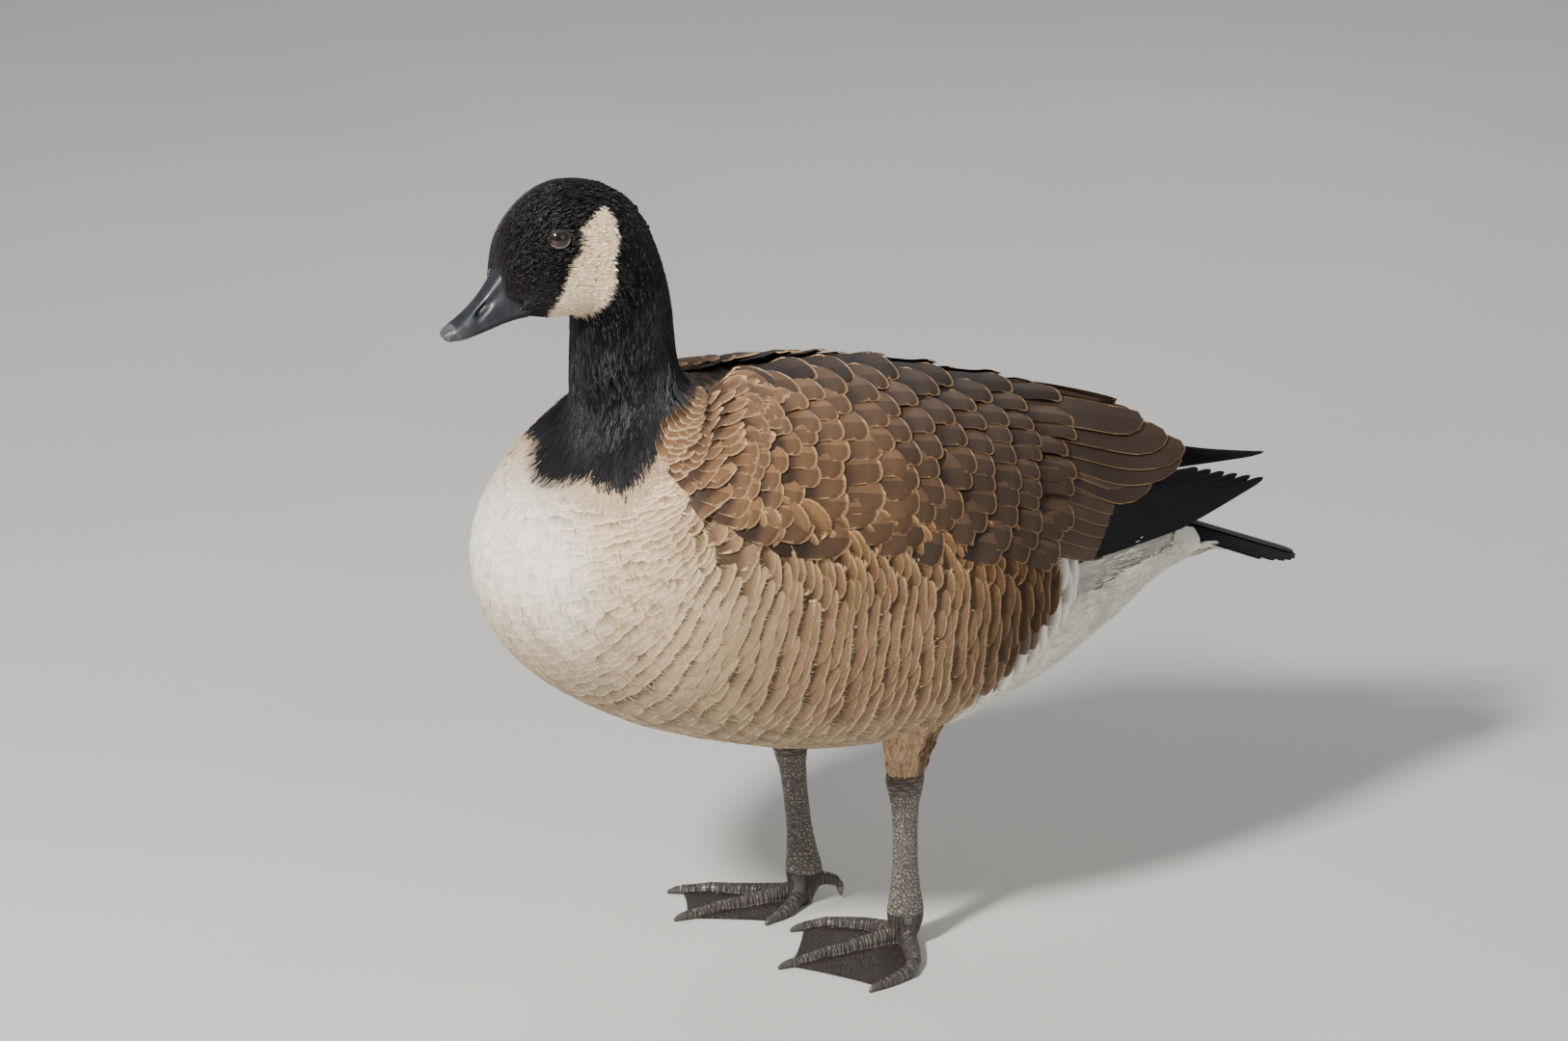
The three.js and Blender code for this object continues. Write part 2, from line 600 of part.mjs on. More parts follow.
function makeWing(side) {
  let wing = wingPlate(side, 0, -wingThickness, 0, wingEnd);
  for (let n = 0; n < primaries.count; n++) wing = wing.add(primary(side, n));
  const { count, root, lowest, highest, tipTop, tipLow, width, lift } = secondaries;
  for (let n = 0; n < count; n++) {
    const f = n / (count - 1);
    const q = lerp(lowest, highest, f);
    wing = wing.add(wingVane(side, [root, q], [lerp(tipLow, tipTop, f), q - 0.02], width, lift));
  }
  tertials.tips.forEach((tip, n) => {
    const from = [tertials.root, tertials.first - n * tertials.pitch];
    const to = [tip, tertials.tipFirst - n * tertials.tipPitch];
    wing = wing.add(wingVane(side, from, to, tertials.width, tertials.lift + n * tertials.liftStep));
  });
  covertRows.toReversed().forEach(({ tip, count: across, reach }) => {
    for (let n = across - 1; n >= 0; n--) {
      const q = (n + 0.5) / across;
      const pitch = wingWidth(tip - 0.3) / across;
      wing = wing.add(covert(side, tip + 0.12 * Math.sin(7 * n + 3 * tip), q, pitch * 1.25, reach));
    }
  });
  return wing;
}

// The tail: a fan of feathers out of the end of the body, the middle one on top

function tailFeather(n) {
  const { root, length, width, apart, droop, step, shorter } = tail;
  const turn = n * tail.turn;
  const place = (u, v, lift) => {
    const across = (2 * u - 1) * width * 0.5 * taper(v);
    const reach = length * (1 - shorter * n * n) * v;
    const forward = reach - 0.06 * length * v * (2 * u - 1) ** 2;
    const x = forward * Math.sin(turn) + across * Math.cos(turn) + n * apart;
    const y = root[1] + (forward * Math.cos(turn) - across * Math.sin(turn)) * Math.cos(droop);
    const z = root[2] - forward * Math.sin(droop) - step * Math.abs(n) + lift;
    return new THREE.Vector3(x, y, z);
  };
  const half = vaneThickness / 2;
  return sheet(2, 5, (u, v) => place(u, v, half), (u, v) => place(u, v, -half));
}

// The legs: a feathered thigh, a bare shank, and a foot of three webbed toes and a raised one

const between = (a, b, f) => a.map((_, n) => lerp(a[n], b[n], f));

// A point of a toe's middle line at f from the ankle to the tip, sinking to the floor on the way.
function toePoint(from, floorWay, f) {
  const stations = [[from[0], from[1]], ...floorWay].map(([x, y]) => ({ x, y }));
  const { x, y } = along(stations, f * (stations.length - 1));
  const sunk = Math.min(1, Math.max(f, 0) * 1.2) ** 0.7;
  return [x, y, lerp(toeHeight.root, toeHeight.tip, sunk)];
}

// Makes a claw and returns the room that it needs, with a clearance, in the foot.
function claw(name, root, way) {
  const [horn, room] = [0, seam].map((clearance) => {
    const points = clawRings.map(([f, drop]) => {
      const radius = clawSize.radius * (1 - 0.66 * Math.max(0, f) ** 1.6) + clearance;
      const at = root.clone().addScaledVector(way, f * clawSize.length);
      at.z = Math.max(at.z - drop, radius * 0.9);
      return { at: at.toArray(), wide: radius, deep: radius };
    });
    return beyond(limb(points, 8), { at: root.toArray(), normal: way.toArray() }, 1);
  });
  piece(name, horn, clawHorn);
  return room;
}

// The claw of the hind toe hangs down and ends just clear of the floor.
function hindClaw(name, [x, y, z]) {
  const points = hindClawRings.map(([rise, radius]) => {
    const back = Math.max(0, -rise) * 0.12;
    return { at: [x, y + back, z + rise], wide: radius, deep: radius };
  });
  piece(name, beyond(limb(points, 8), { at: [x, y, z], normal: [0, 0, -1] }, 1), clawHorn);
}

// The web between the lines of toe n and the next. It reaches nearly to their tips.
function webBetween(lines, n) {
  const place = (u, v, lift) => {
    const dip = web.hollow * Math.sin(Math.PI * u) * v;
    const [one, other] = [n, n + 1].map((k) => v3(lines[k](lerp(web.from, web.reaches[k], v) - dip)));
    const p = one.lerp(other, u);
    p.z = web.height + web.climb * p.z * (1 - v) + lift;
    return p;
  };
  const half = webThickness / 2;
  return sheet(3, 3, (u, v) => place(u, v, half), (u, v) => place(u, v, -half));
}

function makeFoot({ name, ankle, toes, hindToe }, ankleCut) {
  const heel = heelRings.map(([rise, back, wide, deep]) => {
    return { at: [ankle[0], ankle[1] + back, ankle[2] * rise], wide, deep };
  });
  const clawRooms = [];
  let foot = limb(heel, 14);
  for (const [label, way] of Object.entries(toes)) {
    const rings = toeRings.map(([f, radius]) => {
      const [x, y, z] = toePoint(ankle, way, f);
      return { at: [x, y, Math.min(z, radius + toeHeight.over)], wide: radius, deep: radius };
    });
    const tip = v3(toePoint(ankle, way, 1));
    const forward = tip.clone().sub(v3(toePoint(ankle, way, 0.85))).setZ(0).normalize();
    tip.addScaledVector(forward, -1.5);
    foot = foot.add(beyond(limb(rings, 8), { at: tip.toArray(), normal: forward.toArray() }, -1));
    clawRooms.push(claw(`claw_${label}_${name}`, tip, forward));
  }
  const lines = Object.values(toes).map((way) => (f) => toePoint(ankle, way, f));
  foot = foot.add(webBetween(lines, 0)).add(webBetween(lines, 1));
  foot = clawRooms.reduce((made, room) => made.subtract(room), foot);
  const end = hindToe.at(-1);
  const hindLine = [...hindToe, [end[0], end[1], end[2] - 4]];
  const hind = limb(hindLine.map((at, n) => ({ at, wide: hindToeRadii[n], deep: hindToeRadii[n] })), 10);
  const hindEnded = beyond(hind, { at: end, normal: [0, 0, -1] }, -1);
  foot = beyond(foot, ankleCut, 1).add(beyond(hindEnded, ankleCut, 1));
  piece("foot_" + name, foot.trimByPlane([0, 0, 1], 0), legSkin);
  hindClaw("claw_hind_" + name, end);
}

function makeLeg(leg) {
  const { name, knee, hock, ankle } = leg;
  const shankCut = { at: between(knee, hock, shankStart), normal: [0, 0, -1] };
  const ankleCut = { at: ankle, normal: [0, 0, -1] };
  const ringsBetween = (rings, from, to) =>
    rings.map(([f, wide, deep]) => ({ at: between(from, to, f), wide, deep }));
  const thigh = limb(ringsBetween(thighRings, knee, hock), 16);
  piece("thigh_" + name, beyond(thigh.subtract(swollenBody), shankCut, -1), paleFeather);
  const shank = limb(ringsBetween(shankRings, hock, ankle), 14);
  piece("tarsus_" + name, beyond(beyond(shank, shankCut, 1), ankleCut, -1), legSkin);
  makeFoot(leg, ankleCut);
}

makeHead();
makeNeck();

let trunk = beyond(body, neckCuts.base, -1);
for (const side of [1, -1]) {
  const { height, margin, beyond: past } = wingBed;
  trunk = trunk.subtract(wingPlate(side, height, -wingThickness - seam, margin, wingEnd + past));
  const middlePlane = { at: [0, 0, 0], normal: [side, 0, 0] };
  piece(side > 0 ? "wing_left" : "wing_right", beyond(makeWing(side), middlePlane, 1), brownFeather);
}
const tailBase = beyond(trunk, tailCut, 1);
const middleFeather = (tail.count - 1) / 2;
const fan = join(Array.from({ length: tail.count }, (_, n) => tailFeather(n - middleFeather)));
piece("tail", tailBase.add(beyond(fan, tailCut, 1)), darkFeather);
piece("torso", beyond(trunk, tailCut, -1), paleFeather);
legs.forEach(makeLeg);

group.updateMatrixWorld(true);
const bounds = new THREE.Box3().setFromObject(group);
const centre = bounds.getCenter(new THREE.Vector3());
group.position.set(-centre.x, -centre.y, -bounds.min.z);

export default group;
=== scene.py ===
import math

import bmesh
import bpy
import numpy as np
from mathutils import Matrix, Vector
from mathutils.kdtree import KDTree


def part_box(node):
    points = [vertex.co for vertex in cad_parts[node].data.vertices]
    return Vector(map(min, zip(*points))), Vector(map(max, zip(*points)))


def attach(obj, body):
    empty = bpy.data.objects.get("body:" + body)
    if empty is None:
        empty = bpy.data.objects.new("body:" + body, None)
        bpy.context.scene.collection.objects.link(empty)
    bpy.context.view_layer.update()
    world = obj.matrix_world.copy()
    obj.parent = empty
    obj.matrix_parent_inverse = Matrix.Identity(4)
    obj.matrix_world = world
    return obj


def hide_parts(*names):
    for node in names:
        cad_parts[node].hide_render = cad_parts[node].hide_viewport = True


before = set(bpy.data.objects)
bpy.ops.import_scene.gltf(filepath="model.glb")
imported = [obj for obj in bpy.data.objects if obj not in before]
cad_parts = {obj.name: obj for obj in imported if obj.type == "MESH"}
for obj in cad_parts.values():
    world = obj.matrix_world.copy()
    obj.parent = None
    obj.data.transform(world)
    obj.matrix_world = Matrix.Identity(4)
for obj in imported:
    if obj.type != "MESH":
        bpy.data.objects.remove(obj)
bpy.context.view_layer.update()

# The viewpoint and the studio
# A long lens looks down on the bird's left shoulder, as the photograph does. The floor is a pale
# matt board, with a large soft lamp high on the bird's left, a broad fill and a pale surround.


def linear(red, green, blue):
    """A colour given as 0 to 255 on a screen, as the linear values that Blender takes, and a
    little richer, because the picture's tone curve pales it."""
    shares = np.array([red, green, blue], float) / 255
    values = np.where(shares <= 0.04045, shares / 12.92, ((shares + 0.055) / 1.055) ** 2.4)
    middle = values @ (0.21, 0.72, 0.07)
    return np.maximum(middle + (values - middle) * 1.45, 0.001)


drawn_forward = 11.97


def row(points):
    """Points in millimetres as drawn, with y = 0 at the middle of the body, in metres in the frame."""
    return (np.asarray(points, float) - (0, drawn_forward, 0)) * 0.001


def linked(name, data):
    """A new object with that mesh, lamp or lens, put into the scene."""
    made = bpy.data.objects.new(name, data)
    bpy.context.scene.collection.objects.link(made)
    return made


def shaped(name, shape):
    """A new object of that shape."""
    mesh = bpy.data.meshes.new(name)
    shape.to_mesh(mesh)
    return linked(name, mesh)


def fed(node, inputs):
    """Gives a node its inputs, each a value or the output of another node."""
    for label, given in inputs.items():
        if isinstance(given, bpy.types.NodeSocket):
            node.id_data.links.new(given, node.inputs[label])
        else:
            node.inputs[label].default_value = given


def material_nodes(name):
    """A new material, its surface, and a function that adds a node and returns its outputs."""
    material = bpy.data.materials.new(name)
    material.use_nodes = True
    nodes = material.node_tree.nodes

    def add(kind, inputs=None, **settings):
        node = nodes.new("ShaderNode" + kind)
        for setting, value in settings.items():
            setattr(node, setting, value)
        fed(node, inputs or {})
        return node.outputs

    return material, nodes["Principled BSDF"], add


def noise(add, scale, detail=2.0, place=None):
    """An uneven value that changes with the place, or with the point of the object."""
    if place is None:
        place = add("TexCoord")["Object"]
    return add("TexNoise", {"Vector": place, "Scale": scale, "Detail": detail})["Fac"]


back_way = Vector((0.8297, -0.4412, 0.3420)).normalized()
right_way = Vector((0.4695, 0.8829, 0)).normalized()
up_way = back_way.cross(right_way)
eyepoint = linked("camera", bpy.data.cameras.new("camera"))
eyepoint.matrix_world = Matrix.Translation(Vector(row((2807, -1550, 1425)))) @ Matrix(
    (right_way, up_way, back_way)
).transposed().to_4x4()
film_width, focal_pixels, picture_pixels = 36, 5950, 1626
eyepoint.data.lens = film_width * focal_pixels / picture_pixels
eyepoint.data.clip_end = 40
bpy.context.scene.camera = eyepoint

floor_shape = bmesh.new()
bmesh.ops.create_grid(floor_shape, x_segments=2, y_segments=2, size=9)
floor = shaped("floor", floor_shape)
board, surface, add = material_nodes("pale_board")
tones = add("ValToRGB", {"Fac": noise(add, 3)})["Color"]
for element, tone in zip(tones.node.color_ramp.elements, ((205, 203, 198), (216, 214, 210))):
    element.color = (*linear(*tone), 1)
fed(surface, {"Base Color": tones, "Roughness": 0.8})
floor.data.materials.append(board)

surround = bpy.data.worlds.new("surround")
bpy.context.scene.world = surround
surround.use_nodes = True
fed(surround.node_tree.nodes["Background"], {"Color": (*linear(228, 232, 238), 1), "Strength": 0.36})
bird_middle = Vector((0, 0, 0.22))
for lamp_name, way, distance, size, power in (
    ("key_lamp", (0.34, -0.78, 0.72), 2.5, 0.32, 96),
    ("fill_lamp", (0.95, 0.25, 0.40), 2.6, 1.8, 9),
    ("rim_lamp", (-0.7, 0.6, 0.8), 2.4, 1.0, 12),
):
    lamp = linked(lamp_name, bpy.data.lights.new(lamp_name, "AREA"))
    lamp.data.shape = "DISK"
    lamp.data.size = size
    lamp.data.energy = power
    toward = Vector(way).normalized()
    lamp.location = toward * distance + bird_middle
    lamp.rotation_mode = "QUATERNION"
    lamp.rotation_quaternion = toward.to_track_quat("Z", "Y")

# The skin
# One skin from the forehead to the root of the tail, with the thighs, under a coat of feathers. It
# is a loft through the body's sections, made one surface with the thighs and hollowed at the wings.

# back y, back z, underside y, underside z, half width, share of the depth to the widest line, fullness
body_sections = np.array(
    [
        (210, 232, 258, 196, 18, 0.5, 2.2),
        (190, 256, 222, 205, 36, 0.63, 2.2),
        (158, 288, 180, 197, 53, 0.66, 2.2),
        (118, 316, 137, 171, 70, 0.61, 2.2),
        (62, 336, 82, 145, 86, 0.57, 2.2),
        (4, 353, 18, 129, 98, 0.565, 2.2),
        (-50, 363, -52, 131, 103, 0.557, 2.2),
        (-88, 366, -120, 148, 103, 0.54, 2.15),
        (-110, 365, -182, 174, 99, 0.52, 2.1),
        (-121, 367, -233, 214, 92, 0.5, 2.05),
        (-127, 371, -251, 262, 79, 0.5, 2),
        (-131, 377, -235, 303, 55, 0.5, 2),
        (-133, 387, -206, 329, 40, 0.5, 2),
        (-134, 400, -193.5, 353, 33, 0.5, 2),
        (-135, 415, -192.5, 379, 31, 0.5, 2),
        (-138, 432, -191.5, 403, 29.5, 0.5, 2),
        (-142, 448, -193, 416, 29, 0.5, 2),
        (-150, 467, -197, 419, 28.5, 0.52, 2),
        (-162, 483, -203, 418.5, 27.5, 0.54, 2.1),
        (-182, 494, -210, 418.5, 26.5, 0.56, 2.2),
        (-205, 496.5, -218, 420, 24.5, 0.57, 2.2),
        (-224, 488, -227, 422, 21.5, 0.58, 2.2),
        (-238, 472, -236, 423, 17, 0.58, 2.1),
        (-242, 452, -241, 425, 12.5, 0.55, 2),
    ]
)
forehead = len(body_sections) - 1


def along(sections, t):
    """The numbers of a section at t, on a smooth curve through those given, straight past its ends."""
    t = np.asarray(t, float)
    last = len(sections) - 1
    i = np.clip(np.floor(t), 0, last - 1).astype(int)
    f = np.clip(t - i, 0, 1)[..., None]
    p, q, r, s = (sections[np.clip(i + k, 0, last)] for k in (-1, 0, 1, 2))
    bend = (2 * p - 5 * q + 4 * r - s) * f**2 + (3 * q - p - 3 * r + s) * f**3
    past = (t - i)[..., None] - f
    return q + ((r - p) * f + bend) / 2 + (r - q) * past


def soft(value, low, high):
    """0 below low, 1 above high and smooth between."""
    f = np.clip((np.asarray(value, float) - low) / (high - low), 0, 1)
    return f * f * (3 - 2 * f)


def from_back(turn):
    """How far a turn lies from the back on either side, from 0 to pi on the underside."""
    return np.abs((turn + np.pi) % (2 * np.pi) - np.pi)


# Along the wing's lower edge: t, the edge's turn in degrees, and how far the flank swells to meet it
flank_line = np.array(
    [
        (3.0, 84, 0), (3.5, 83, 0), (3.9, 79, 5), (4.7, 69, 11), (5.6, 64, 14), (6.9, 64, 12),
        (8.2, 63, 11), (9.0, 64, 8), (9.6, 67, 5), (10.3, 72, 0), (24, 72, 0),
    ]
)


def swell(t, turn):
    """How far the flank's feathers stand out to lie over the wing's lower edge."""
    turn = from_back(turn)
    edge = np.radians(np.interp(t, flank_line[:, 0], flank_line[:, 1]))
    depth = np.interp(t, flank_line[:, 0], flank_line[:, 2])
    return depth * np.where(turn > edge, 1 - soft(turn, edge, edge + 0.5), soft(turn / edge, 0.2, 1.0))


def body(t, turn, height=0.0):
    """A point of the body: t from the tail, 0, to the forehead, 23; turn from the back, 0, by the
    bird's left to the underside, pi; height out from the coat's outer face."""
    back_y, back_z, under_y, under_z, half, wide, full = np.moveaxis(along(body_sections, t), -1, 0)
    down_y, down_z = under_y - back_y, under_z - back_z
    depth = np.hypot(down_y, down_z)
    height = height + swell(t, turn)
    c, s = np.cos(turn), np.sin(turn)
    reach = np.where(c > 0, depth * wide, depth * (1 - wide)) + height
    drop = depth * wide - reach * np.sign(c) * np.abs(c) ** (2 / full)
    x = (half + height) * np.sign(s) * np.abs(s) ** (2 / full)
    return np.stack([x, back_y + down_y / depth * drop, back_z + down_z / depth * drop], -1)


def mixed(first, second, share):
    """Between two values: the first at share 0 and the second at 1."""
    return first + (second - first) * np.asarray(share)[..., None]


rng = np.random.default_rng(7)
# The lower edge of the black neck and the upper edge of the white vent: turns, and t at each
sock_turn = np.radians([0, 43, 61, 85, 98, 110, 130, 150, 180])
sock_edge = np.array([10.45, 10.7, 10.78, 10.67, 10.65, 11.08, 11.58, 11.66, 11.6])
vent_turn = np.radians([0, 60, 85, 97, 110, 120, 132, 150, 180])
vent_edge = np.array([2.2, 3.6, 3.9, 4.08, 4.36, 4.65, 4.83, 5.0, 5.1])
cheek_patch = np.array(  # its outline in side view, as y and z
    [
        (-181, 483), (-176.5, 476), (-176, 461), (-180, 454), (-180, 437), (-182, 431),
        (-187, 424), (-191, 417.5), (-213, 417.5), (-216, 426), (-211.5, 439), (-206, 455),
        (-200, 462), (-198, 470), (-199, 474), (-194.5, 477), (-183, 484),
    ]
)


def inside(y, z, outline):
    """Whether points lie in an outline drawn in side view."""
    found = np.zeros(np.shape(y), bool)
    for (y0, z0), (y1, z1) in zip(outline, np.roll(outline, -1, 0)):
        crosses = (z0 > z) != (z1 > z)
        found ^= crosses & (y < (y1 - y0) * (z - z0) / (z1 - z0 + 1e-9) + y0)
    return found


def body_marks(t, turn, points, loose=1.0):
    """The colour of a feather and of its edge, by where its tip lies on the body."""
    turn = from_back(turn)
    _, y, z = np.moveaxis(points, -1, 0)
    shape = y.shape
    stray = rng.normal(0, 0.06, shape) * loose
    low = soft(turn, 1.8, 2.6)
    brown = np.clip(soft(y, -205, -75) * 0.8 + soft(z, 290, 335) * 0.3 * soft(y, -215, -185), 0, 1)
    rearward = soft(y, -20, 60)
    ground = mixed(linear(206, 184, 158), linear(122, 95, 74), brown)
    ground = mixed(ground, linear(74, 56, 43), rearward * (1 - low * 0.3))
    ground = mixed(ground, linear(166, 151, 133), low * (0.75 - 0.45 * rearward))
    fringe = mixed(linear(236, 220, 198), linear(228, 204, 174), brown)
    fringe = mixed(fringe, linear(146, 120, 96), rearward)
    fringe = mixed(fringe, linear(220, 208, 190), low * 0.8)
    breast = soft(-y, 203, 238) * soft(z, 205, 285)
    back = (1 - soft(turn, 0.5, 0.85)) * (1 - soft(t, 11.5, 12.2))
    vent = soft(np.interp(turn, vent_turn, vent_edge) - t + stray, -0.03, 0.05)
    sock = soft(t + stray - np.interp(turn, sock_turn, sock_edge), -0.03, 0.05)
    stray_y = y + rng.normal(0, 0.5, shape) * loose
    stray_z = z + rng.normal(0, 0.5, shape) * loose
    cheek = inside(stray_y, stray_z, cheek_patch) * (t > 14)
    for share, colour, edge_colour in (
        (breast, (247, 238, 224), (253, 246, 235)),
        (back, (46, 37, 31), (96, 79, 65)),
        (vent, (236, 232, 222), (243, 240, 232)),
        (sock, (20, 19, 20), (30, 28, 28)),
        (cheek, (250, 237, 214), (253, 241, 221)),
    ):
        ground = mixed(ground, linear(*colour), share)
        fringe = mixed(fringe, linear(*edge_colour), share)
    return ground, fringe


def wrapped(around, lengthwise, surface, closed=True, near=2e-6):
    """A grid wrapped round a surface of (turn, share of the length), with its ends filled."""
    shape = bmesh.new()
    bmesh.ops.create_grid(shape, x_segments=around, y_segments=lengthwise, size=1)
    turn = np.array([corner.co.x for corner in shape.verts]) * np.pi
    share = np.array([corner.co.y for corner in shape.verts]) * 0.5 + 0.5
    for corner, at in zip(shape.verts, row(surface(turn, share))):
        corner.co = at
    bmesh.ops.remove_doubles(shape, verts=shape.verts[:], dist=near)
    if closed:
        bmesh.ops.holes_fill(shape, edges=shape.edges[:], sides=around + 2)
    bmesh.ops.recalc_face_normals(shape, faces=shape.faces[:])
    return shape


# The folded wing's upper edge, middle and lower edge, x, y and z each, from the shoulder rearwards
wing_sections = np.array(
    [
        (30, -127, 362, 62, -147, 352, 84, -164, 334),
        (21, -98, 367, 70, -114, 349, 98, -134, 320),
        (17, -52, 366, 76, -70, 340, 105, -92, 306),
        (15, 2, 357, 77, -12, 328, 106, -28, 295),
        (13, 58, 341, 71, 46, 310, 101, 30, 275),
        (11, 116, 323, 60, 100, 288, 88, 80, 249),
        (9, 172, 303, 43, 150, 270, 65, 124, 234),
        (8, 216, 286, 29, 204, 268, 43, 188, 246),
        (5, 256, 268, 15, 250, 257, 23, 240, 246),
    ]
)


def wing_face(s, q):
    """A point of the left wing's face, on a curve through its upper edge, middle and lower edge."""
    edges = along(wing_sections, s)
    q = np.asarray(q, float)[..., None]
    top, middle, low = edges[..., :3], edges[..., 3:6], edges[..., 6:]
    return top * (1 - q) * (1 - 2 * q) + middle * 4 * q * (1 - q) + low * q * (2 * q - 1)


def wing(s, q, height=0.0, side=1):
    """A point of the folded wing: s from the shoulder rearwards, q from its upper edge, 0, to its
    lower, 1, height out from its face, and side 1 on the bird's left or -1 on its right."""
    s, q, height = np.broadcast_arrays(np.asarray(s, float), q, height)
    step = 0.02
    out = np.cross(
        wing_face(s, q + step) - wing_face(s, q - step), wing_face(s + step, q) - wing_face(s - step, q)
    )
    out /= np.linalg.norm(out, axis=-1, keepdims=True)
    out *= np.where(out[..., :1] < 0, -1, 1)
    return (wing_face(s, q) + out * height[..., None]) * (side, 1, 1)


def bare_body(turn, share):
    """The body's skin, which lies deeper under the coat than it does on the neck and head."""
    t = forehead * share
    return body(t, turn + np.pi, -5.0 * (1 - 0.55 * soft(t, 10, 13)))


# Each thigh's knee and hock, and its half widths and half depths on the way down
knees = {"left": ((52, 2, 160), (46, 0, 112)), "right": ((-50, -32, 160), (-43, -31, 112))}
thigh_widths = np.array([(26, 33), (21, 26), (16, 20), (12, 15.5), (10.2, 12.4)]) - 2.5


def thigh(name):
    """The surface of a feathered thigh: f from above the knee down to the hock."""
    knee, hock = (np.array(p, float) for p in knees[name])

    def surface(f, turn, height=0.0):
        shares = np.array([-0.5, 0, 0.35, 0.7, 1.0])
        wide = np.interp(f, shares, thigh_widths[:, 0]) + height
        deep = np.interp(f, shares, thigh_widths[:, 1]) + height
        way = (hock - knee) / np.linalg.norm(hock - knee)
        facing = np.cross(way, (1, 0, 0))
        facing /= np.linalg.norm(facing)
        across = np.cross(facing, way)
        centre = knee + (hock - knee) * np.asarray(f)[..., None]
        return (
            centre
            + across * (wide * np.cos(turn))[..., None]
            + facing * (deep * np.sin(turn))[..., None]
        )

    return surface


def tail_top(x, y):
    """The height of the tail's upper face, which the end of the body lies under."""
    return 231.5 - 0.434 * (y - 200) - 0.45 * np.abs(x) + 16 * (1 - soft(y, 184, 206))


def merged(parts, voxel, rounds):
    """Makes the first part one closed surface of all, eased so many times."""
    whole = parts[0]
    with bpy.context.temp_override(active_object=whole, selected_editable_objects=parts):
        bpy.ops.object.join()
    closing = whole.modifiers.new("closing", "REMESH")
    closing.mode = "VOXEL"
    closing.voxel_size = voxel
    easing = whole.modifiers.new("easing", "SMOOTH")
    easing.iterations = rounds
    evaluated = whole.evaluated_get(bpy.context.evaluated_depsgraph_get())
    mesh = bpy.data.meshes.new_from_object(evaluated)
    whole.modifiers.clear()
    whole.data = mesh
    mesh.shade_smooth()
    mesh.materials.clear()
    return whole


def drawn(points):
    """Points of the frame in millimetres as drawn."""
    return np.asarray(points, float) * 1000 + (0, drawn_forward, 0)


def corners_of(mesh):
    """The places of a mesh's points, in millimetres as drawn."""
    found = np.empty(len(mesh.vertices) * 3)
    mesh.vertices.foreach_get("co", found)
    return drawn(found.reshape(-1, 3))


def attribute(mesh, name, values, kind="FLOAT_COLOR"):
    """Gives each point of a mesh a number, a colour or a place."""
    if np.ndim(values) == 1:
        kind = "FLOAT"
    elif kind == "FLOAT_COLOR":
        values = np.concatenate([values, np.ones((len(values), 1))], 1)
    field = {"FLOAT": "value", "FLOAT_COLOR": "color", "FLOAT_VECTOR": "vector"}[kind]
    data = mesh.attributes.new(name, kind, "POINT").data
    data.foreach_set(field, np.ravel(values).astype(np.float32))


def finder_of(points):
    """A search for the nearest of those points."""
    tree = KDTree(len(points))
    for number, point in enumerate(points):
        tree.insert(point, number)
    tree.balance()
    return tree


parts = [shaped("skin", wrapped(64, 180, bare_body, near=2e-5))]
thigh_top, thigh_end = -0.45, 0.93
for name in knees:
    surface, length = thigh(name), thigh_end - thigh_top
    shape = wrapped(
        20, 12, lambda turn, share: surface(thigh_top + length * share, turn + np.pi), near=2e-5
    )
    parts.append(shaped("thigh", shape))
skin = merged(parts, voxel=0.003, rounds=4)

# The skin is hollowed to lie under the wings' faces, and its end stays below the tail.
wing_s, wing_q = np.meshgrid(np.linspace(0, 8, 90), np.linspace(0, 1, 30), indexing="ij")
wing_places = wing(wing_s, wing_q).reshape(-1, 3)
wing_ways = wing(wing_s, wing_q, 1.0).reshape(-1, 3) - wing_places
wing_finder = finder_of(wing_places)
wing_depth, wing_reach = 7.0, 14
skin_points = corners_of(skin.data)
for number, point in enumerate(skin_points):
    on_left = (abs(point[0]), point[1], point[2])
    _, k, off = wing_finder.find(on_left)
    if off > wing_reach:
        continue
    above = (on_left - wing_places[k]) @ wing_ways[k] + wing_depth
    if above > 0 and wing_s.flat[k] < 7:
        skin_points[number] -= above * wing_ways[k] * (np.sign(point[0]), 1, 1)
over = (skin_points[:, 1] > 184) & (skin_points[:, 2] > 200)
highest = tail_top(skin_points[:, 0], skin_points[:, 1]) - 3.5
skin_points[:, 2] = np.where(over, np.minimum(skin_points[:, 2], highest), skin_points[:, 2])
skin.data.vertices.foreach_set("co", row(skin_points).astype(np.float32).ravel())

# Each point of the skin takes the colour of the nearest place on the body's own grid.
t_grid, turn_grid = np.meshgrid(
    np.linspace(0, forehead, 231), np.linspace(0, 2 * np.pi, 72), indexing="ij"
)
finder = finder_of(body(t_grid, turn_grid, -3).reshape(-1, 3))
nearest = np.array([finder.find(point)[1] for point in skin_points])
skin_ground, _ = body_marks(t_grid.ravel()[nearest], turn_grid.ravel()[nearest], skin_points, 0.4)
# Where its colour is not pale, the skin is darkened to 0.7: painted shade under the coat.
pale_unshaded = skin_ground.min(1, keepdims=True) > 0.6
attribute(skin.data, "ground", skin_ground * np.where(pale_unshaded, 1.0, 0.7))


def ranged(add, value, low, high, at_low, at_high, kind="LINEAR"):
    """A node's value, with low to high made at_low to at_high."""
    inputs = {"Value": value, "From Min": low, "From Max": high, "To Min": at_low, "To Max": at_high}
    return add("MapRange", inputs, interpolation_type=kind)["Result"]


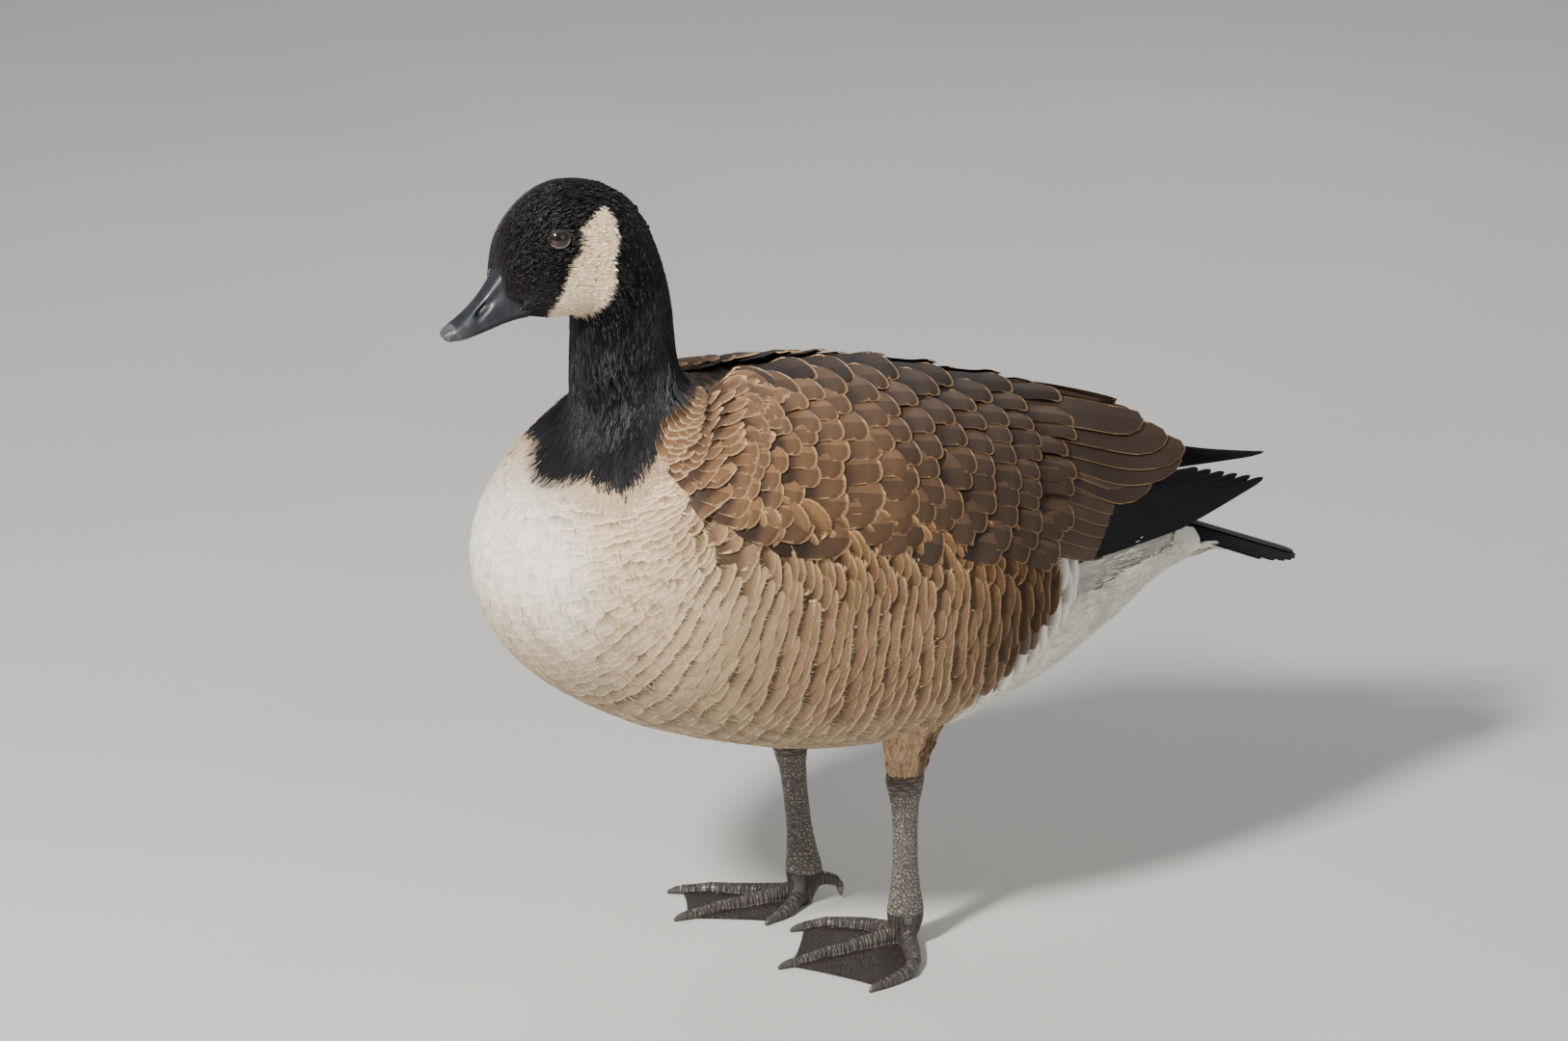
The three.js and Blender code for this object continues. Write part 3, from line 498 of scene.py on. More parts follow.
def dressed(add, surface, colour, shade, roughness, *reliefs):
    """Gives a surface a colour times its shade, a roughness, and reliefs of height, strength and
    depth, one on the other. Without a colour, it has the one in the points' own attribute."""
    if colour is None:
        colour = add("Attribute", attribute_name="ground")["Color"]
    inputs = {"Base Color": add("VectorMath", {0: colour, "Scale": shade}, operation="SCALE")["Vector"]}
    below = {}
    for height, strength, depth in reliefs:
        relief = {"Height": height, "Strength": strength, "Distance": depth, **below}
        below = {"Normal": add("Bump", relief)["Normal"]}
    fed(surface, {**inputs, **below, "Roughness": roughness})


def plumage(name, fringe_width, roughness, contrast=0.2, web_shade=0.0, gloss=0.3, relief=0.3):
    """Feather vanes: barbs run out and forward from the shaft, and the edge is paler and worn.
    The vanes' own map is in millimetres, across from the shaft and along from the root."""
    material, surface, add = material_nodes(name)

    def sum_of(operation, *values):
        return add("Math", dict(enumerate(values)), operation=operation)[0]

    def read(attribute_name, output):
        return add("Attribute", attribute_name=attribute_name)[output]

    split = add("SeparateXYZ", {"Vector": add("UVMap", uv_map="Feather")["UV"]})
    outward = sum_of("ABSOLUTE", split["X"])
    barb_line = sum_of("SUBTRACT", split["Y"], sum_of("MULTIPLY", outward, 0.9))
    barb_place = {
        "X": sum_of("MULTIPLY", barb_line, 3.4),
        "Y": sum_of("MULTIPLY", outward, 0.14),
        "Z": sum_of("MULTIPLY", read("seed", "Fac"), 90),
    }
    barbs = noise(add, 1, 3, add("CombineXYZ", barb_place)["Vector"])
    ragged = sum_of("ADD", read("edge", "Fac"), sum_of("MULTIPLY", barbs, -fringe_width))
    inner = ranged(add, ragged, -0.3 * fringe_width, 0.6 * fringe_width, 0, 1, "SMOOTHSTEP")
    worn = {"Factor": inner, "A": read("fringe", "Color"), "B": read("ground", "Color")}
    worn_colour = add("Mix", worn, data_type="RGBA")["Result"]
    tone = sum_of(
        "MULTIPLY",
        ranged(add, barbs, 0.3, 0.7, 1 - contrast, 1 + contrast),
        ranged(add, noise(add, 60, 4), 0.3, 0.7, 0.93, 1.07),
    )
    # Painted light and shade: one web lighter and the other darker, as light falls on a vane ridged at
    # its shaft, and a darker line along the shaft.
    if web_shade:
        lower = ranged(add, split["X"], -0.4, 0.4, 1 + 0.4 * web_shade, 1 - web_shade, "SMOOTHSTEP")
        shaft = ranged(add, outward, 0.15, 0.45, 0.72, 1, "SMOOTHSTEP")
        tone = sum_of("MULTIPLY", tone, sum_of("MULTIPLY", lower, shaft))
    matt = ranged(add, barbs, 0.2, 0.8, roughness - 0.08, roughness + 0.08)
    dressed(add, surface, worn_colour, tone, matt, (barbs, relief, 0.0004))
    fed(surface, {"Specular IOR Level": gloss})
    return material


def dress(made, material, slot, *nodes):
    """Gives a piece its material, hangs it under the root and hides the nodes it stands for; slot is not
    used.
    """
    made.data.materials.append(material)
    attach(made, "root")
    if nodes:
        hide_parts(*nodes)
    return made


down_skin, surface, add = material_nodes("skin_and_down")
down = noise(add, 900)
dressed(add, surface, None, ranged(add, down, 0, 1, 0.75, 1.15), 0.85, (down, 0.5, 0.0006))
dress(
    skin, down_skin, "pale_feather",
    "torso", "neck_lower", "neck_upper", "head", "thigh_left", "thigh_right",
)

# The body's coat
# Overlapping contour feathers in rows round the body, each a thin arched vane with its root under
# the row in front. They grow from the breast towards the tail and are largest on the flanks.


def vane(across, lengthwise, gather=1.0):
    """One closed vane: how far across, u from -1 to 1, and along, v from 0 to 1, each point lies,
    whether it is below the face, and the triangles. The face is a grid with its rows drawn towards
    the tip by gather, and the underside has a few lines of points of its own."""
    shape = bmesh.new()
    bmesh.ops.create_grid(shape, x_segments=across, y_segments=lengthwise, size=1)
    at = {(round(c.co.x, 4), round(c.co.y, 4)): c for c in shape.verts}
    columns = sorted({x for x, _ in at})
    rows = sorted({y for _, y in at})
    lines = columns[2:-2:2] or columns[1:2]
    below = [
        [at[columns[0], y], *(shape.verts.new((x, y, -1)) for x in lines), at[columns[-1], y]]
        for y in rows[1:-1]
    ]
    for low, high in zip(below, below[1:]):
        for k in range(len(lines) + 1):
            shape.faces.new((low[k], high[k], high[k + 1], low[k + 1]))
    root, tip = ([at[x, y] for x in columns] for y in (rows[0], rows[-1]))
    middle = len(lines) // 2 + 1
    first, last = below[0], below[-1]
    shape.faces.new([*first[middle:], *root[::-1], *first[:middle]])
    shape.faces.new([*last[middle::-1], *tip, *last[:middle:-1]])
    shape.verts.index_update()
    u = np.sin(np.array([c.co.x for c in shape.verts]) * np.pi / 2)
    v = 1 - (0.5 - np.array([c.co.y for c in shape.verts]) * 0.5) ** gather
    under = np.array([-c.co.z for c in shape.verts])
    corners = [[c.index for c in face.verts] for face in shape.faces]
    triangles = [[f[0], f[k], f[k + 1]] for f in corners for k in range(1, len(f) - 1)]
    return u, v, under, np.array(triangles)


def patch(first, second, shape, size=0.003):
    """Each vane's place in the bake map: a small patch at its root's place on the unwrapped skin."""
    u, v, _, _ = shape
    across = np.clip(first, 0.002, 0.998)[:, None] + u * size / 2
    lengthwise = np.clip(second, 0.002, 0.998)[:, None] + (v - 0.5) * size
    return np.stack([across, lengthwise], -1)


def sewn(name, shape, vanes, colours, place, material, slot, *nodes):
    """Makes one piece of many vanes of that shape. vanes holds their points, their own map and how
    far in from the edge each point lies, and colours holds one colour for each feather and one for
    its edge. Where the tips of the row in front lie, steps near 1, a feather is darker: painted
    shade under those tips, which also stands for the feather's darker base. place is where each
    lies in the bake map."""
    points, flat, border = vanes
    ground, fringe, steps = colours if len(colours) == 3 else (*colours, 0.0)
    count, each = points.shape[:2]
    ground, fringe = (np.broadcast_to(colour, (count, 3)) for colour in (ground, fringe))
    # Painted shade: darker where the tips of the row in front lie over a feather, also standing for its
    # darker base.
    shade = np.broadcast_to(1 - 0.72 * soft(steps, 0.32, 0.92), (count, each))
    marks = {
        "ground": ground[:, None] * shade[..., None],
        "fringe": np.repeat(fringe[:, None], each, 1),
        "edge": np.broadcast_to(border, (count, each)),
        "seed": np.repeat(rng.random(count)[:, None], each, 1),
    }
    mesh = bpy.data.meshes.new(name)
    mesh.vertices.add(count * each)
    mesh.vertices.foreach_set("co", row(points).astype(np.float32).ravel())
    corners = (shape[3][None] + np.arange(count)[:, None, None] * each).ravel()
    mesh.loops.add(len(corners))
    mesh.loops.foreach_set("vertex_index", corners.astype(np.int32))
    mesh.polygons.add(len(corners) // 3)
    mesh.polygons.foreach_set("loop_start", np.arange(0, len(corners), 3, dtype=np.int32))
    mesh.update(calc_edges=True)
    mesh.shade_smooth()
    mesh.set_sharp_from_angle(angle=math.radians(70))
    flat = np.broadcast_to(flat, (count, each, 2))
    for map_name, values in (("OFBake", patch(*place[:2], shape, *place[2:])), ("Feather", flat)):
        layer = mesh.uv_layers.new(name=map_name)
        layer.data.foreach_set("uv", values.reshape(-1, 2)[corners].astype(np.float32).ravel())
    for mark, values in marks.items():
        attribute(mesh, mark, values.reshape(count * each, -1).squeeze())
    return dress(linked(name, mesh), material, slot, *nodes)


def rounded(u, square):
    """How far a tip of that squareness falls back at u: 0 at the middle and 1 at the sides."""
    return 1 - (1 - np.minimum(np.abs(u), 1) ** square) ** (1 / square)


def behind(shape, long, cap, square):
    """How far each point of a vane lies behind its tip: along the outline's curve close to the
    tip, and square to the shaft farther in."""
    u, v, _, _ = shape
    long, cap, square = (column(k, len(np.ravel(long))) for k in (long, cap, square))
    return (1 - v) * long + v * cap * rounded(u, square) * np.minimum(1, 4 * (1 - v))


def column(values, count):
    """One number for each feather, as a column."""
    return np.broadcast_to(np.ravel(np.asarray(values, float)), count)[:, None]


def laid(
    surface, way, first, second, shape, long, wide, lie, height, cap=3.0, square=2.4, start=(0, 0), yaw=0
):
    """The points of vanes laid on a surface from roots at (first, second). They point along
    first, forward or back as way says, turned by lie. height is out from the surface. The tip
    falls back by cap at its sides. A part of a feather starts at a place of its own in it."""
    u, v, _, _ = shape
    count = len(first)
    step = 0.01
    long, wide, lie, cap, square, yaw = (column(k, count) for k in (long, wide, lie, cap, square, yaw))
    along_start, across_start = (column(k, count) for k in start)
    reach = v * (long - cap * rounded(u, square))
    spread = wide / 2 * u * np.minimum(1, 0.5 + 1.5 * v)
    e1 = (surface(first + step, second, 0.0) - surface(first - step, second, 0.0)) / (2 * step)
    e2 = (surface(first, second + step, 0.0) - surface(first, second - step, 0.0)) / (2 * step)
    out = surface(first, second, 1.0) - surface(first, second, 0.0)
    ahead = way * e1 / np.linalg.norm(e1, axis=-1, keepdims=True)
    sideways = e2 - (e2 * ahead).sum(-1, keepdims=True) * ahead
    sideways /= np.linalg.norm(sideways, axis=-1, keepdims=True)
    sideways *= np.sign((np.cross(sideways, ahead) * out).sum(-1, keepdims=True))
    go = reach * np.cos(lie + yaw) - spread * np.sin(lie + yaw)
    go = go + along_start * np.cos(lie) - across_start * np.sin(lie)
    aside = reach * np.sin(lie + yaw) + spread * np.cos(lie + yaw)
    aside = aside + along_start * np.sin(lie) + across_start * np.cos(lie)
    g11, g12, g22 = ((a * b).sum(-1)[:, None] for a, b in ((e1, e1), (e1, e2), (e2, e2)))
    r1 = go * (ahead * e1).sum(-1)[:, None] + aside * (sideways * e1).sum(-1)[:, None]
    r2 = go * (ahead * e2).sum(-1)[:, None] + aside * (sideways * e2).sum(-1)[:, None]
    spread_out = g11 * g22 - g12**2
    d1 = (r1 * g22 - r2 * g12) / spread_out
    d2 = (r2 * g11 - r1 * g12) / spread_out
    points = surface(first[:, None] + d1, second[:, None] + d2, height)
    to_tip = (1 - v) * (long - cap * rounded(u, square))
    to_side = (1 - np.abs(u)) * wide * 1.6 + 0.25 * np.maximum(0, to_tip - 3)
    return points, np.stack([spread, reach], -1), np.minimum(to_tip, to_side)


def lengths_along(line):
    """How far each point of a line lies from its start, along it."""
    return np.concatenate([[0], np.cumsum(np.linalg.norm(np.diff(line, axis=0), axis=1))])


def spaced(t_start, t_end, step, turn=math.pi * 0.6):
    """Rows at even distances along the body's side, from t_start down to t_end."""
    fine = np.linspace(t_start, t_end, 600)
    steps = lengths_along(body(fine, np.full_like(fine, turn)))
    return np.interp(np.arange(0, steps[-1], step), steps, fine)


def ring_rows(t_values, spacing):
    """Roots in rows round the body: (t, turn, row number) at even distances in each row."""
    found = []
    fine = np.linspace(0, 2 * np.pi, 361)
    for n, t in enumerate(t_values):
        steps = lengths_along(body(np.full_like(fine, t), fine))
        count = max(8, round(steps[-1] / spacing[n]))
        at = (np.arange(count) + 0.5 * (n % 2)) * steps[-1] / count
        turns = np.interp(at, steps, fine)
        found.append(np.stack([np.full(count, t), turns, np.full(count, n)], 1))
    return np.concatenate(found)


def pace_at(t, turn):
    """Millimetres along the body for one step of t."""
    return np.linalg.norm(body(t + 0.02, turn) - body(t - 0.02, turn), axis=-1) / 0.04


def rolled(steps):
    """The height of a feather's face, as a share of its swell, at so many rows' distances from
    its tip: full near the tip, and low where the tips of the row in front lie over it."""
    return 0.55 + 0.45 * np.cos(np.clip((steps - 0.35) / 0.75, -1, 1) * np.pi)


def under_wing(points):
    """Whether a wing covers each point of the body."""
    found = [wing_finder.find((abs(p[0]), p[1], p[2])) for p in points]
    k = np.array([number for _, number, _ in found])
    s, q = wing_s.ravel()[k], wing_q.ravel()[k]
    near = np.array([off for _, _, off in found]) < np.where(s < 6.2, 20, 14)
    return near & (s > 0.25) & (s < 7.9) & (q > 0.04) & (q < 0.98)


def scattered(count, t_low, t_high):
    """Roots spread evenly over the body's surface between two sections."""
    pool = count * 14
    draw = (np.arange(pool)[:, None] * (0.7548776662, 0.5698402910) + 0.5) % 1
    t = t_low + (t_high - t_low) * draw[:, 0]
    turn = 2 * np.pi * draw[:, 1]
    step = 0.01
    e1 = body(t + step, turn) - body(t - step, turn)
    e2 = body(t, turn + step) - body(t, turn - step)
    area = np.linalg.norm(np.cross(e1, e2), axis=1)
    limit = np.quantile(area, 0.995)
    kept = rng.random(pool) < area / limit * count / (np.minimum(area / limit, 1).sum())
    return t[kept], turn[kept]


def unwrapped(t, turn, t_low=0, t_high=12):
    """The place of roots in the bake map."""
    return turn / (2 * np.pi) % 1, (t - t_low) / (t_high - t_low)


# The rows stand closer on the breast, ahead of coat_start, than on the flanks.
neck_foot, coat_start, coat_end, breast_pace, flank_pace = 11.9, 8.6, 0.15, 5.0, 8.2
t_rows = np.concatenate(
    [spaced(neck_foot, coat_start, breast_pace), spaced(coat_start - 0.08, coat_end, flank_pace)]
)
row_gap = -np.gradient(t_rows)
spacing = np.where(t_rows > coat_start, 8.0, 11.5)
roots = ring_rows(t_rows, spacing)
t, turn, n = roots[:, 0], roots[:, 1], roots[:, 2].astype(int)

# Where rows crowd together, only every second, fourth, eighth or sixteenth of them has feathers.
# None grow under the wing, in the vent's white under its long coverts, or inside the tail.
thin = np.clip(np.round(np.log2(pace_at(t, 1.9) / np.maximum(pace_at(t, turn), 1))), 0, 4)
kept = n % 2**thin == 0
side_turn = from_back(turn)
edge = np.radians(np.interp(t, flank_line[:, 0], flank_line[:, 1]))
place = body(t, turn)
kept &= ~under_wing(place)
kept &= (side_turn > edge + 0.13) | (side_turn < 0.6 * edge) | (t > 9.4) | (t < 3.6)
kept &= (t > np.interp(side_turn, vent_turn, vent_edge)) | (side_turn > 1.75)
kept &= (place[:, 1] < 186) | (place[:, 2] < tail_top(place[:, 0], place[:, 1]) - 3)
t, turn, n, side_turn, edge = t[kept], turn[kept], n[kept], side_turn[kept], edge[kept]
lower = np.where(np.sin(turn) > 0, 1, -1)
gap = row_gap[n] * 2 ** thin[kept]
exposed = gap * pace_at(t, turn)

# Each feather's place, size and form, by the part of the coat it grows in.
t = t + gap * (0.16 * np.sin(3 * turn + 2.1 * n) + rng.normal(0, 0.07, len(t)))
turn = turn + rng.normal(0, 0.016, len(t))
vent_here = soft(np.interp(side_turn, vent_turn, vent_edge) - t, -0.1, 0.1)
flank = soft(-t, -9.3, -7.8) * soft(t, 2.6, 3.6) * soft(side_turn, 0.9, 1.3)
flank *= (1 - soft(side_turn, 1.9, 2.5)) * (1 - vent_here)
by_wing = soft(-t, -10.2, -9.2) * soft(t, 3.4, 4.2) * (1 - soft(side_turn, edge + 0.12, edge + 0.5))
by_wing *= soft(side_turn, 0.6, 0.8) * soft(t, 4.3, 4.9)
mantle = (1 - soft(side_turn, 0.5, 0.8)) * (1 - soft(t, 10.2, 10.8))
long = np.clip(exposed * 2.9, 9, 30) * rng.uniform(0.94, 1.06, len(t)) + 7 * by_wing
long = long + 8 * vent_here * soft(side_turn, 1.9, 2.3)
wide = spacing[n] * (1.8 + 0.4 * flank + 0.25 * by_wing) * rng.uniform(0.88, 1.1, len(t))
wide *= 1 - 0.35 * soft(t, 10.4, 11.8)
cap = 2.8 + 6 * by_wing + 4 * mantle - 1.0 * flank * (1 - by_wing)
square = 2.2 + 0.8 * flank * (1 - by_wing)
lie = rng.normal(0, 0.04 + 0.02 * flank, len(t)) - lower * 0.7 * by_wing
banded = np.maximum(flank, by_wing)
off_breast = 1 - soft(-body(t, turn)[:, 1], 215, 240)
lined = np.maximum(banded, 0.4 * soft(side_turn, 0.9, 1.4) * off_breast * (1 - vent_here))
swelling = 0.06 + 0.1 * lined + 0.2 * flank * (1 - by_wing) + 0.08 * by_wing
swelling = exposed * swelling * rng.uniform(0.85, 1.15, len(t))
stand = 1.5 * by_wing - 1.0 * vent_here
tilt = 0.08 + 0.3 * by_wing
curve = 0.25 + 0.75 * flank * (1 - by_wing) + 0.3 * by_wing


def contour_height(u, steps, chosen):
    """The height of body feathers at u across and so many rows' distances from their tips."""
    swelling_here, stand_here, tilt_here, curve_here, lower_here = (
        k[chosen][:, None] for k in (swelling, stand, tilt, curve, lower)
    )
    height = swelling_here * rolled(steps) - 0.9 * np.maximum(0, steps - 1.1)
    height = height + stand_here * (1 - 0.3 * steps) - curve_here * (u**2 + 1.3 * u**4)
    return height + tilt_here * u * lower_here - 0.4


tip_t = t - 0.75 * long * np.cos(lie) / pace_at(t, turn)
ground, fringe = body_marks(tip_t, turn, body(tip_t, turn))
ground = mixed(ground, linear(118, 89, 67), 0.75 * by_wing * (1 - vent_here))
fringe = mixed(fringe, linear(176, 144, 112), 0.85 * by_wing * (1 - vent_here))
ground = ground * rng.uniform(0.88, 1.1, (len(t), 1))
at_left = lower > 0
body_plumage = plumage("body_plumage", 2.3, 0.75, 0.34, 0, 0.3, 0.6)
hair = (  # one barb: three points at its root and one at its tip, as a vane has them
    np.array([-1, 1, 0, 0.0]),
    np.array([0, 0, 0, 1.0]),
    np.array([1, 1, 0, 0.0]),
    np.array([[0, 1, 2], [1, 3, 2], [3, 0, 2], [0, 3, 1]]),
)
barbs_each, no_fringe = 30, 9
for name, chosen, body_vane in (
    ("breast", t > coat_start - 0.5, vane(6, 6, 1.4)),
    ("flank_left", (t <= coat_start - 0.5) & (t > 3.2) & at_left, vane(8, 8, 1.5)),
    ("flank_right", (t <= coat_start - 0.5) & (t > 3.2) & ~at_left, vane(8, 8, 1.5)),
    ("rear", t <= 3.2, vane(6, 6, 1.4)),
):
    u, v, under, _ = body_vane
    steps = behind(body_vane, long[chosen], cap[chosen], square[chosen]) / exposed[chosen][:, None]
    vanes = laid(
        body, -1, t[chosen], turn[chosen], body_vane, long[chosen], wide[chosen], lie[chosen],
        contour_height(u, steps, chosen) - 0.5 * under, cap[chosen], square[chosen],
    )
    # The third term paints shade under the tips of the row in front, strongest on the banded flanks and
    # the lined breast.
    colours = ground[chosen], fringe[chosen], steps * lined[chosen][:, None] ** 0.5
    place = unwrapped(t[chosen], turn[chosen])
    sewn("coat_" + name, body_vane, vanes, colours, place, body_plumage, "pale_feather")

    fringed = np.flatnonzero(chosen & (banded > 0.2))
    if len(fringed) == 0:
        continue
    of = np.repeat(fringed, barbs_each)
    across = np.tile(np.linspace(-0.78, 0.78, barbs_each), len(fringed)) + rng.normal(0, 0.03, len(of))
    length = rng.uniform(1.6, 4.4, len(of)) * (1 - 0.45 * by_wing[of])
    base = (long[of] - cap[of] * rounded(across, square[of]) - 1.0, wide[of] / 2 * across)
    _, v, under, _ = hair
    height = contour_height(across[:, None], np.zeros((len(of), 1)), of) + 0.3 - 0.3 * under - 0.4 * v
    points, flat, border = laid(
        body, -1, t[of], turn[of], hair, length, rng.uniform(0.35, 0.7, len(of)), lie[of],
        height + rng.normal(0, 0.25, (len(of), 1)) * v, 0, 2, base,
        rng.normal(0, 0.35, len(of)) + 0.3 * across,
    )
    colours = fringe[of] * rng.uniform(0.8, 1.12, (len(of), 1)), fringe[of]
    place = unwrapped(t[of], turn[of])
    barbs = points, flat, border + no_fringe
    sewn("fringe_" + name, hair, barbs, colours, place, body_plumage, "pale_feather")

# Fine hair-like tips over the breast, belly and vent, where the coat looks silky, and more of them,
# looser, low on the flanks.
wt, wturn = scattered(46000, 0.2, neck_foot)
side_turn = from_back(wturn)
silky = np.maximum.reduce(
    [
        soft(side_turn, 1.75, 2.3),
        soft(wt, 8.2, 9.4) * soft(side_turn, 0.8, 1.1) * 0.7,
        (1 - soft(wt, 3.6, 4.4)) * soft(side_turn, 0.9, 1.2),
    ]
)
shown = (rng.random(len(wt)) < silky) & (wt < np.interp(side_turn, sock_turn, sock_edge) + 0.1)
wt, wturn, side_turn = wt[shown], wturn[shown], side_turn[shown]
place = body(wt, wturn)
below_tail = place[:, 2] < tail_top(place[:, 0], place[:, 1]) - 2
shown = ~under_wing(place) & ((place[:, 1] < 180) | below_tail)
wt, wturn, side_turn = wt[shown], wturn[shown], side_turn[shown]
loose = soft(side_turn, 1.7, 2.1) * (1 - soft(side_turn, 2.3, 2.8))
loose *= soft(-wt, -8.5, -7.5) * soft(wt, 3, 4)
_, v, under, _ = hair
length = rng.uniform(5, 9.5, len(wt))
ridge = 0.45 * np.sin(wturn * 34 + 5 * np.sin(wt * 1.7))[:, None]
height = 0.2 + ridge - 0.4 * under + (0.25 + rng.normal(0, 0.25, (len(wt), 1)) + 1.0 * loose[:, None]) * v
points, flat, border = laid(
    body, -1, wt, wturn, hair, length, rng.uniform(0.7, 1.3, len(wt)),
    rng.normal(0, 0.13, len(wt)) + rng.normal(0, 0.3, len(wt)) * loose, height, 0, 2,
)
tip_t = wt - 0.8 * length / np.maximum(pace_at(wt, wturn), 4)
ground, fringe = body_marks(tip_t, wturn, body(tip_t, wturn), 0.6)
tone = rng.uniform(0.72, 1.1, (len(wt), 1))
ground = mixed(ground, fringe, rng.random(len(wt)) * 0.7) * tone
silk = points, flat, border + no_fringe
place = unwrapped(wt, wturn)
sewn("coat_silk", hair, silk, (ground, fringe), place, body_plumage, "pale_feather")

# The coat of the neck and head
# Short, narrow, velvety feathers that lie down the neck and back over the head, black but for the
# white cheek patch, which meets under the chin.

tuft = vane(2, 2)
velvet = plumage("velvet_plumage", 0.5, 0.46, 0.45, 0, 0.45, 0.6)
bill_edge = np.array(  # height, and how far forward the feathers reach round the bill
    [
        (418, -224), (426, -226.6), (434.6, -225), (437, -229), (438.6, -235.6), (442.7, -237.5),
        (450, -237.3), (456, -239.7), (462, -244),
    ]
)
eye_centre = np.array([18.0, -211.0, 469.6])
eye_out = np.array([0.975, -0.19, 0.09])
eye_out /= np.linalg.norm(eye_out)
eye_up = np.cross(eye_out, np.cross([0, 0, 1], eye_out))
eye_forward = np.cross(eye_out, eye_up)
eye_radius, eye_half = 7.2, (6.0, 4.7)


def eye_distance(points):
    """How far points lie from an eye's middle, 1 being the edge of the opening."""
    away = points * (np.sign(points[..., :1]), 1, 1)[0] - eye_centre
    away[..., 0] = np.abs(points[..., 0]) - eye_centre[0]
    return np.hypot(away @ eye_forward / eye_half[0], away @ eye_up / eye_half[1])


for name, shape, count, t_low, t_high, length, width, lift in (
    ("coat_neck", tuft, 10000, 10.5, 15.6, 10, 2.5, 0.4),
    ("hair_neck", hair, 15000, 10.5, 15.6, 9, 1.2, 0.9),
    ("coat_head", tuft, 11500, 15.5, 22.9, 5.0, 1.7, 0.1),
    ("hair_head", hair, 26000, 15.5, 22.9, 5.0, 0.8, 0.35),
):
    u, v, under, _ = shape
    t, turn = scattered(count, t_low, t_high)
    side_turn = from_back(turn)
    place = body(t, turn)
    shown = t > np.interp(side_turn, sock_turn, sock_edge) - 0.25
    face_end = np.interp(place[:, 2], *bill_edge.T) - 7.5
    shown &= (eye_distance(place) > 1.22) & (place[:, 1] > face_end)
    t, turn, side_turn, place = t[shown], turn[shown], side_turn[shown], place[shown]
    face_here = soft(t, 18, 21.5)
    size = rng.uniform(0.75, 1.2, len(t)) * (1 - 0.5 * face_here)
    fine = (1 - 0.35 * face_here)[:, None]
    height = (lift * v - 0.3 * under) * fine - 1.6 * fine * (1 - v) ** 1.5 * (shape is tuft)
    ruffled = soft(t, 16.5, 17.5) * (1 - soft(t, 18.6, 19.4)) * (1 - soft(side_turn, 0.4, 0.9))
    fine = fine + 2.2 * (ruffled * rng.random(len(t)))[:, None]
    height = height + 0.25 * (1 - u**2) * (1 - v) + rng.normal(0, 0.25, (len(t), 1)) * v * fine
    furrow = np.sin(turn * 26 + 2 * np.sin(t * 3)) * 0.35 * (1 - soft(t, 12.5, 14.5))
    points, flat, border = laid(
        body, -1, t, turn, shape, length * size, width * size * (1 - 0.15 * face_here),
        rng.normal(0, 0.15, len(t)), height + furrow[:, None], 0.45 * length * size, 1.5,
    )
    tip_t = t - 0.5 * length * size / np.maximum(pace_at(t, turn), 4)
    ground, fringe = body_marks(tip_t, turn, body(tip_t, turn), 0.8)
    # Some black feathers on the forehead are mixed at random towards brown-grey: a painted sheen.
    brow = soft(t, 19, 20.5) * (1 - inside(place[:, 1], place[:, 2], cheek_patch)) * rng.random(len(t))
    ground = mixed(ground, linear(52, 46, 42), 0.6 * brow)
    pale = ground.mean(1, keepdims=True) > 0.3
    pale_tone, dark_tone = (rng.uniform(*span, (len(t), 1)) for span in ((0.86, 1.04), (0.6, 1.4)))
    ground = ground * np.where(pale, pale_tone, dark_tone)
    vanes = points, flat, border + no_fringe * (shape is hair)
    place = unwrapped(t, turn, t_low, t_high)
    sewn(name, shape, vanes, (ground, fringe), place, velvet, "black_feather")

# The eyes
# Dark brown balls set deep in the head, each in a ring of bare lid, thicker and pinker below, with
# a fold of skin round it.


def toned(name, rough, scale, depth, low, high, colour=None, coat=0.0, stretch=(1, 1, 1)):
    """A mottled, finely rough surface of one colour, or of the colour in the points' attribute."""
    material, surface, add = material_nodes(name)
    fed(surface, {"Coat Weight": coat, "Coat Roughness": 0.08})
    place = add("Mapping", {"Vector": add("TexCoord")["Object"], "Scale": stretch})["Vector"]
    grain = noise(add, scale, 4, place)
    matt = ranged(add, grain, 0, 1, rough - 0.08, rough + 0.08)
    dressed(add, surface, colour, ranged(add, grain, 0.3, 0.7, low, high), matt, (grain, 0.5, depth))
    return material


def piece_of(name, shape, material, slot, *nodes):
    """A piece with a smooth surface of its own."""
    made = shaped(name, shape)
    made.data.shade_smooth()
    return dress(made, material, slot, *nodes)


def ball(turn, share):
    """The left eye's surface, from its front to its back."""
    polar = share[:, None] * math.pi
    ring = np.cos(turn)[:, None] * eye_forward + np.sin(turn)[:, None] * eye_up
    return eye_centre + eye_radius * (eye_out * np.cos(polar) + ring * np.sin(polar))


def lid(turn, share, grow, thick, sink):
    """A fold of skin round the left eye, thicker below: share goes round the eye."""
    angle = 2 * math.pi * share
    flat_x = eye_half[0] * grow * np.cos(angle) * (1 + 0.06 * np.cos(angle))
    flat_y = eye_half[1] * grow * np.sin(angle)
    deep = np.sqrt(np.maximum((eye_radius + 0.35) ** 2 - flat_x**2 - flat_y**2, 4)) - sink
    middle = eye_centre + flat_x[:, None] * eye_forward + flat_y[:, None] * eye_up
    middle = middle + deep[:, None] * eye_out
    outward = np.cos(angle)[:, None] * eye_forward + np.sin(angle)[:, None] * eye_up
    across = thick * (1 + 0.5 * np.clip(-np.sin(angle), 0, 1))[:, None]
    return middle + across * (outward * np.cos(turn)[:, None] + eye_out * np.sin(turn)[:, None])


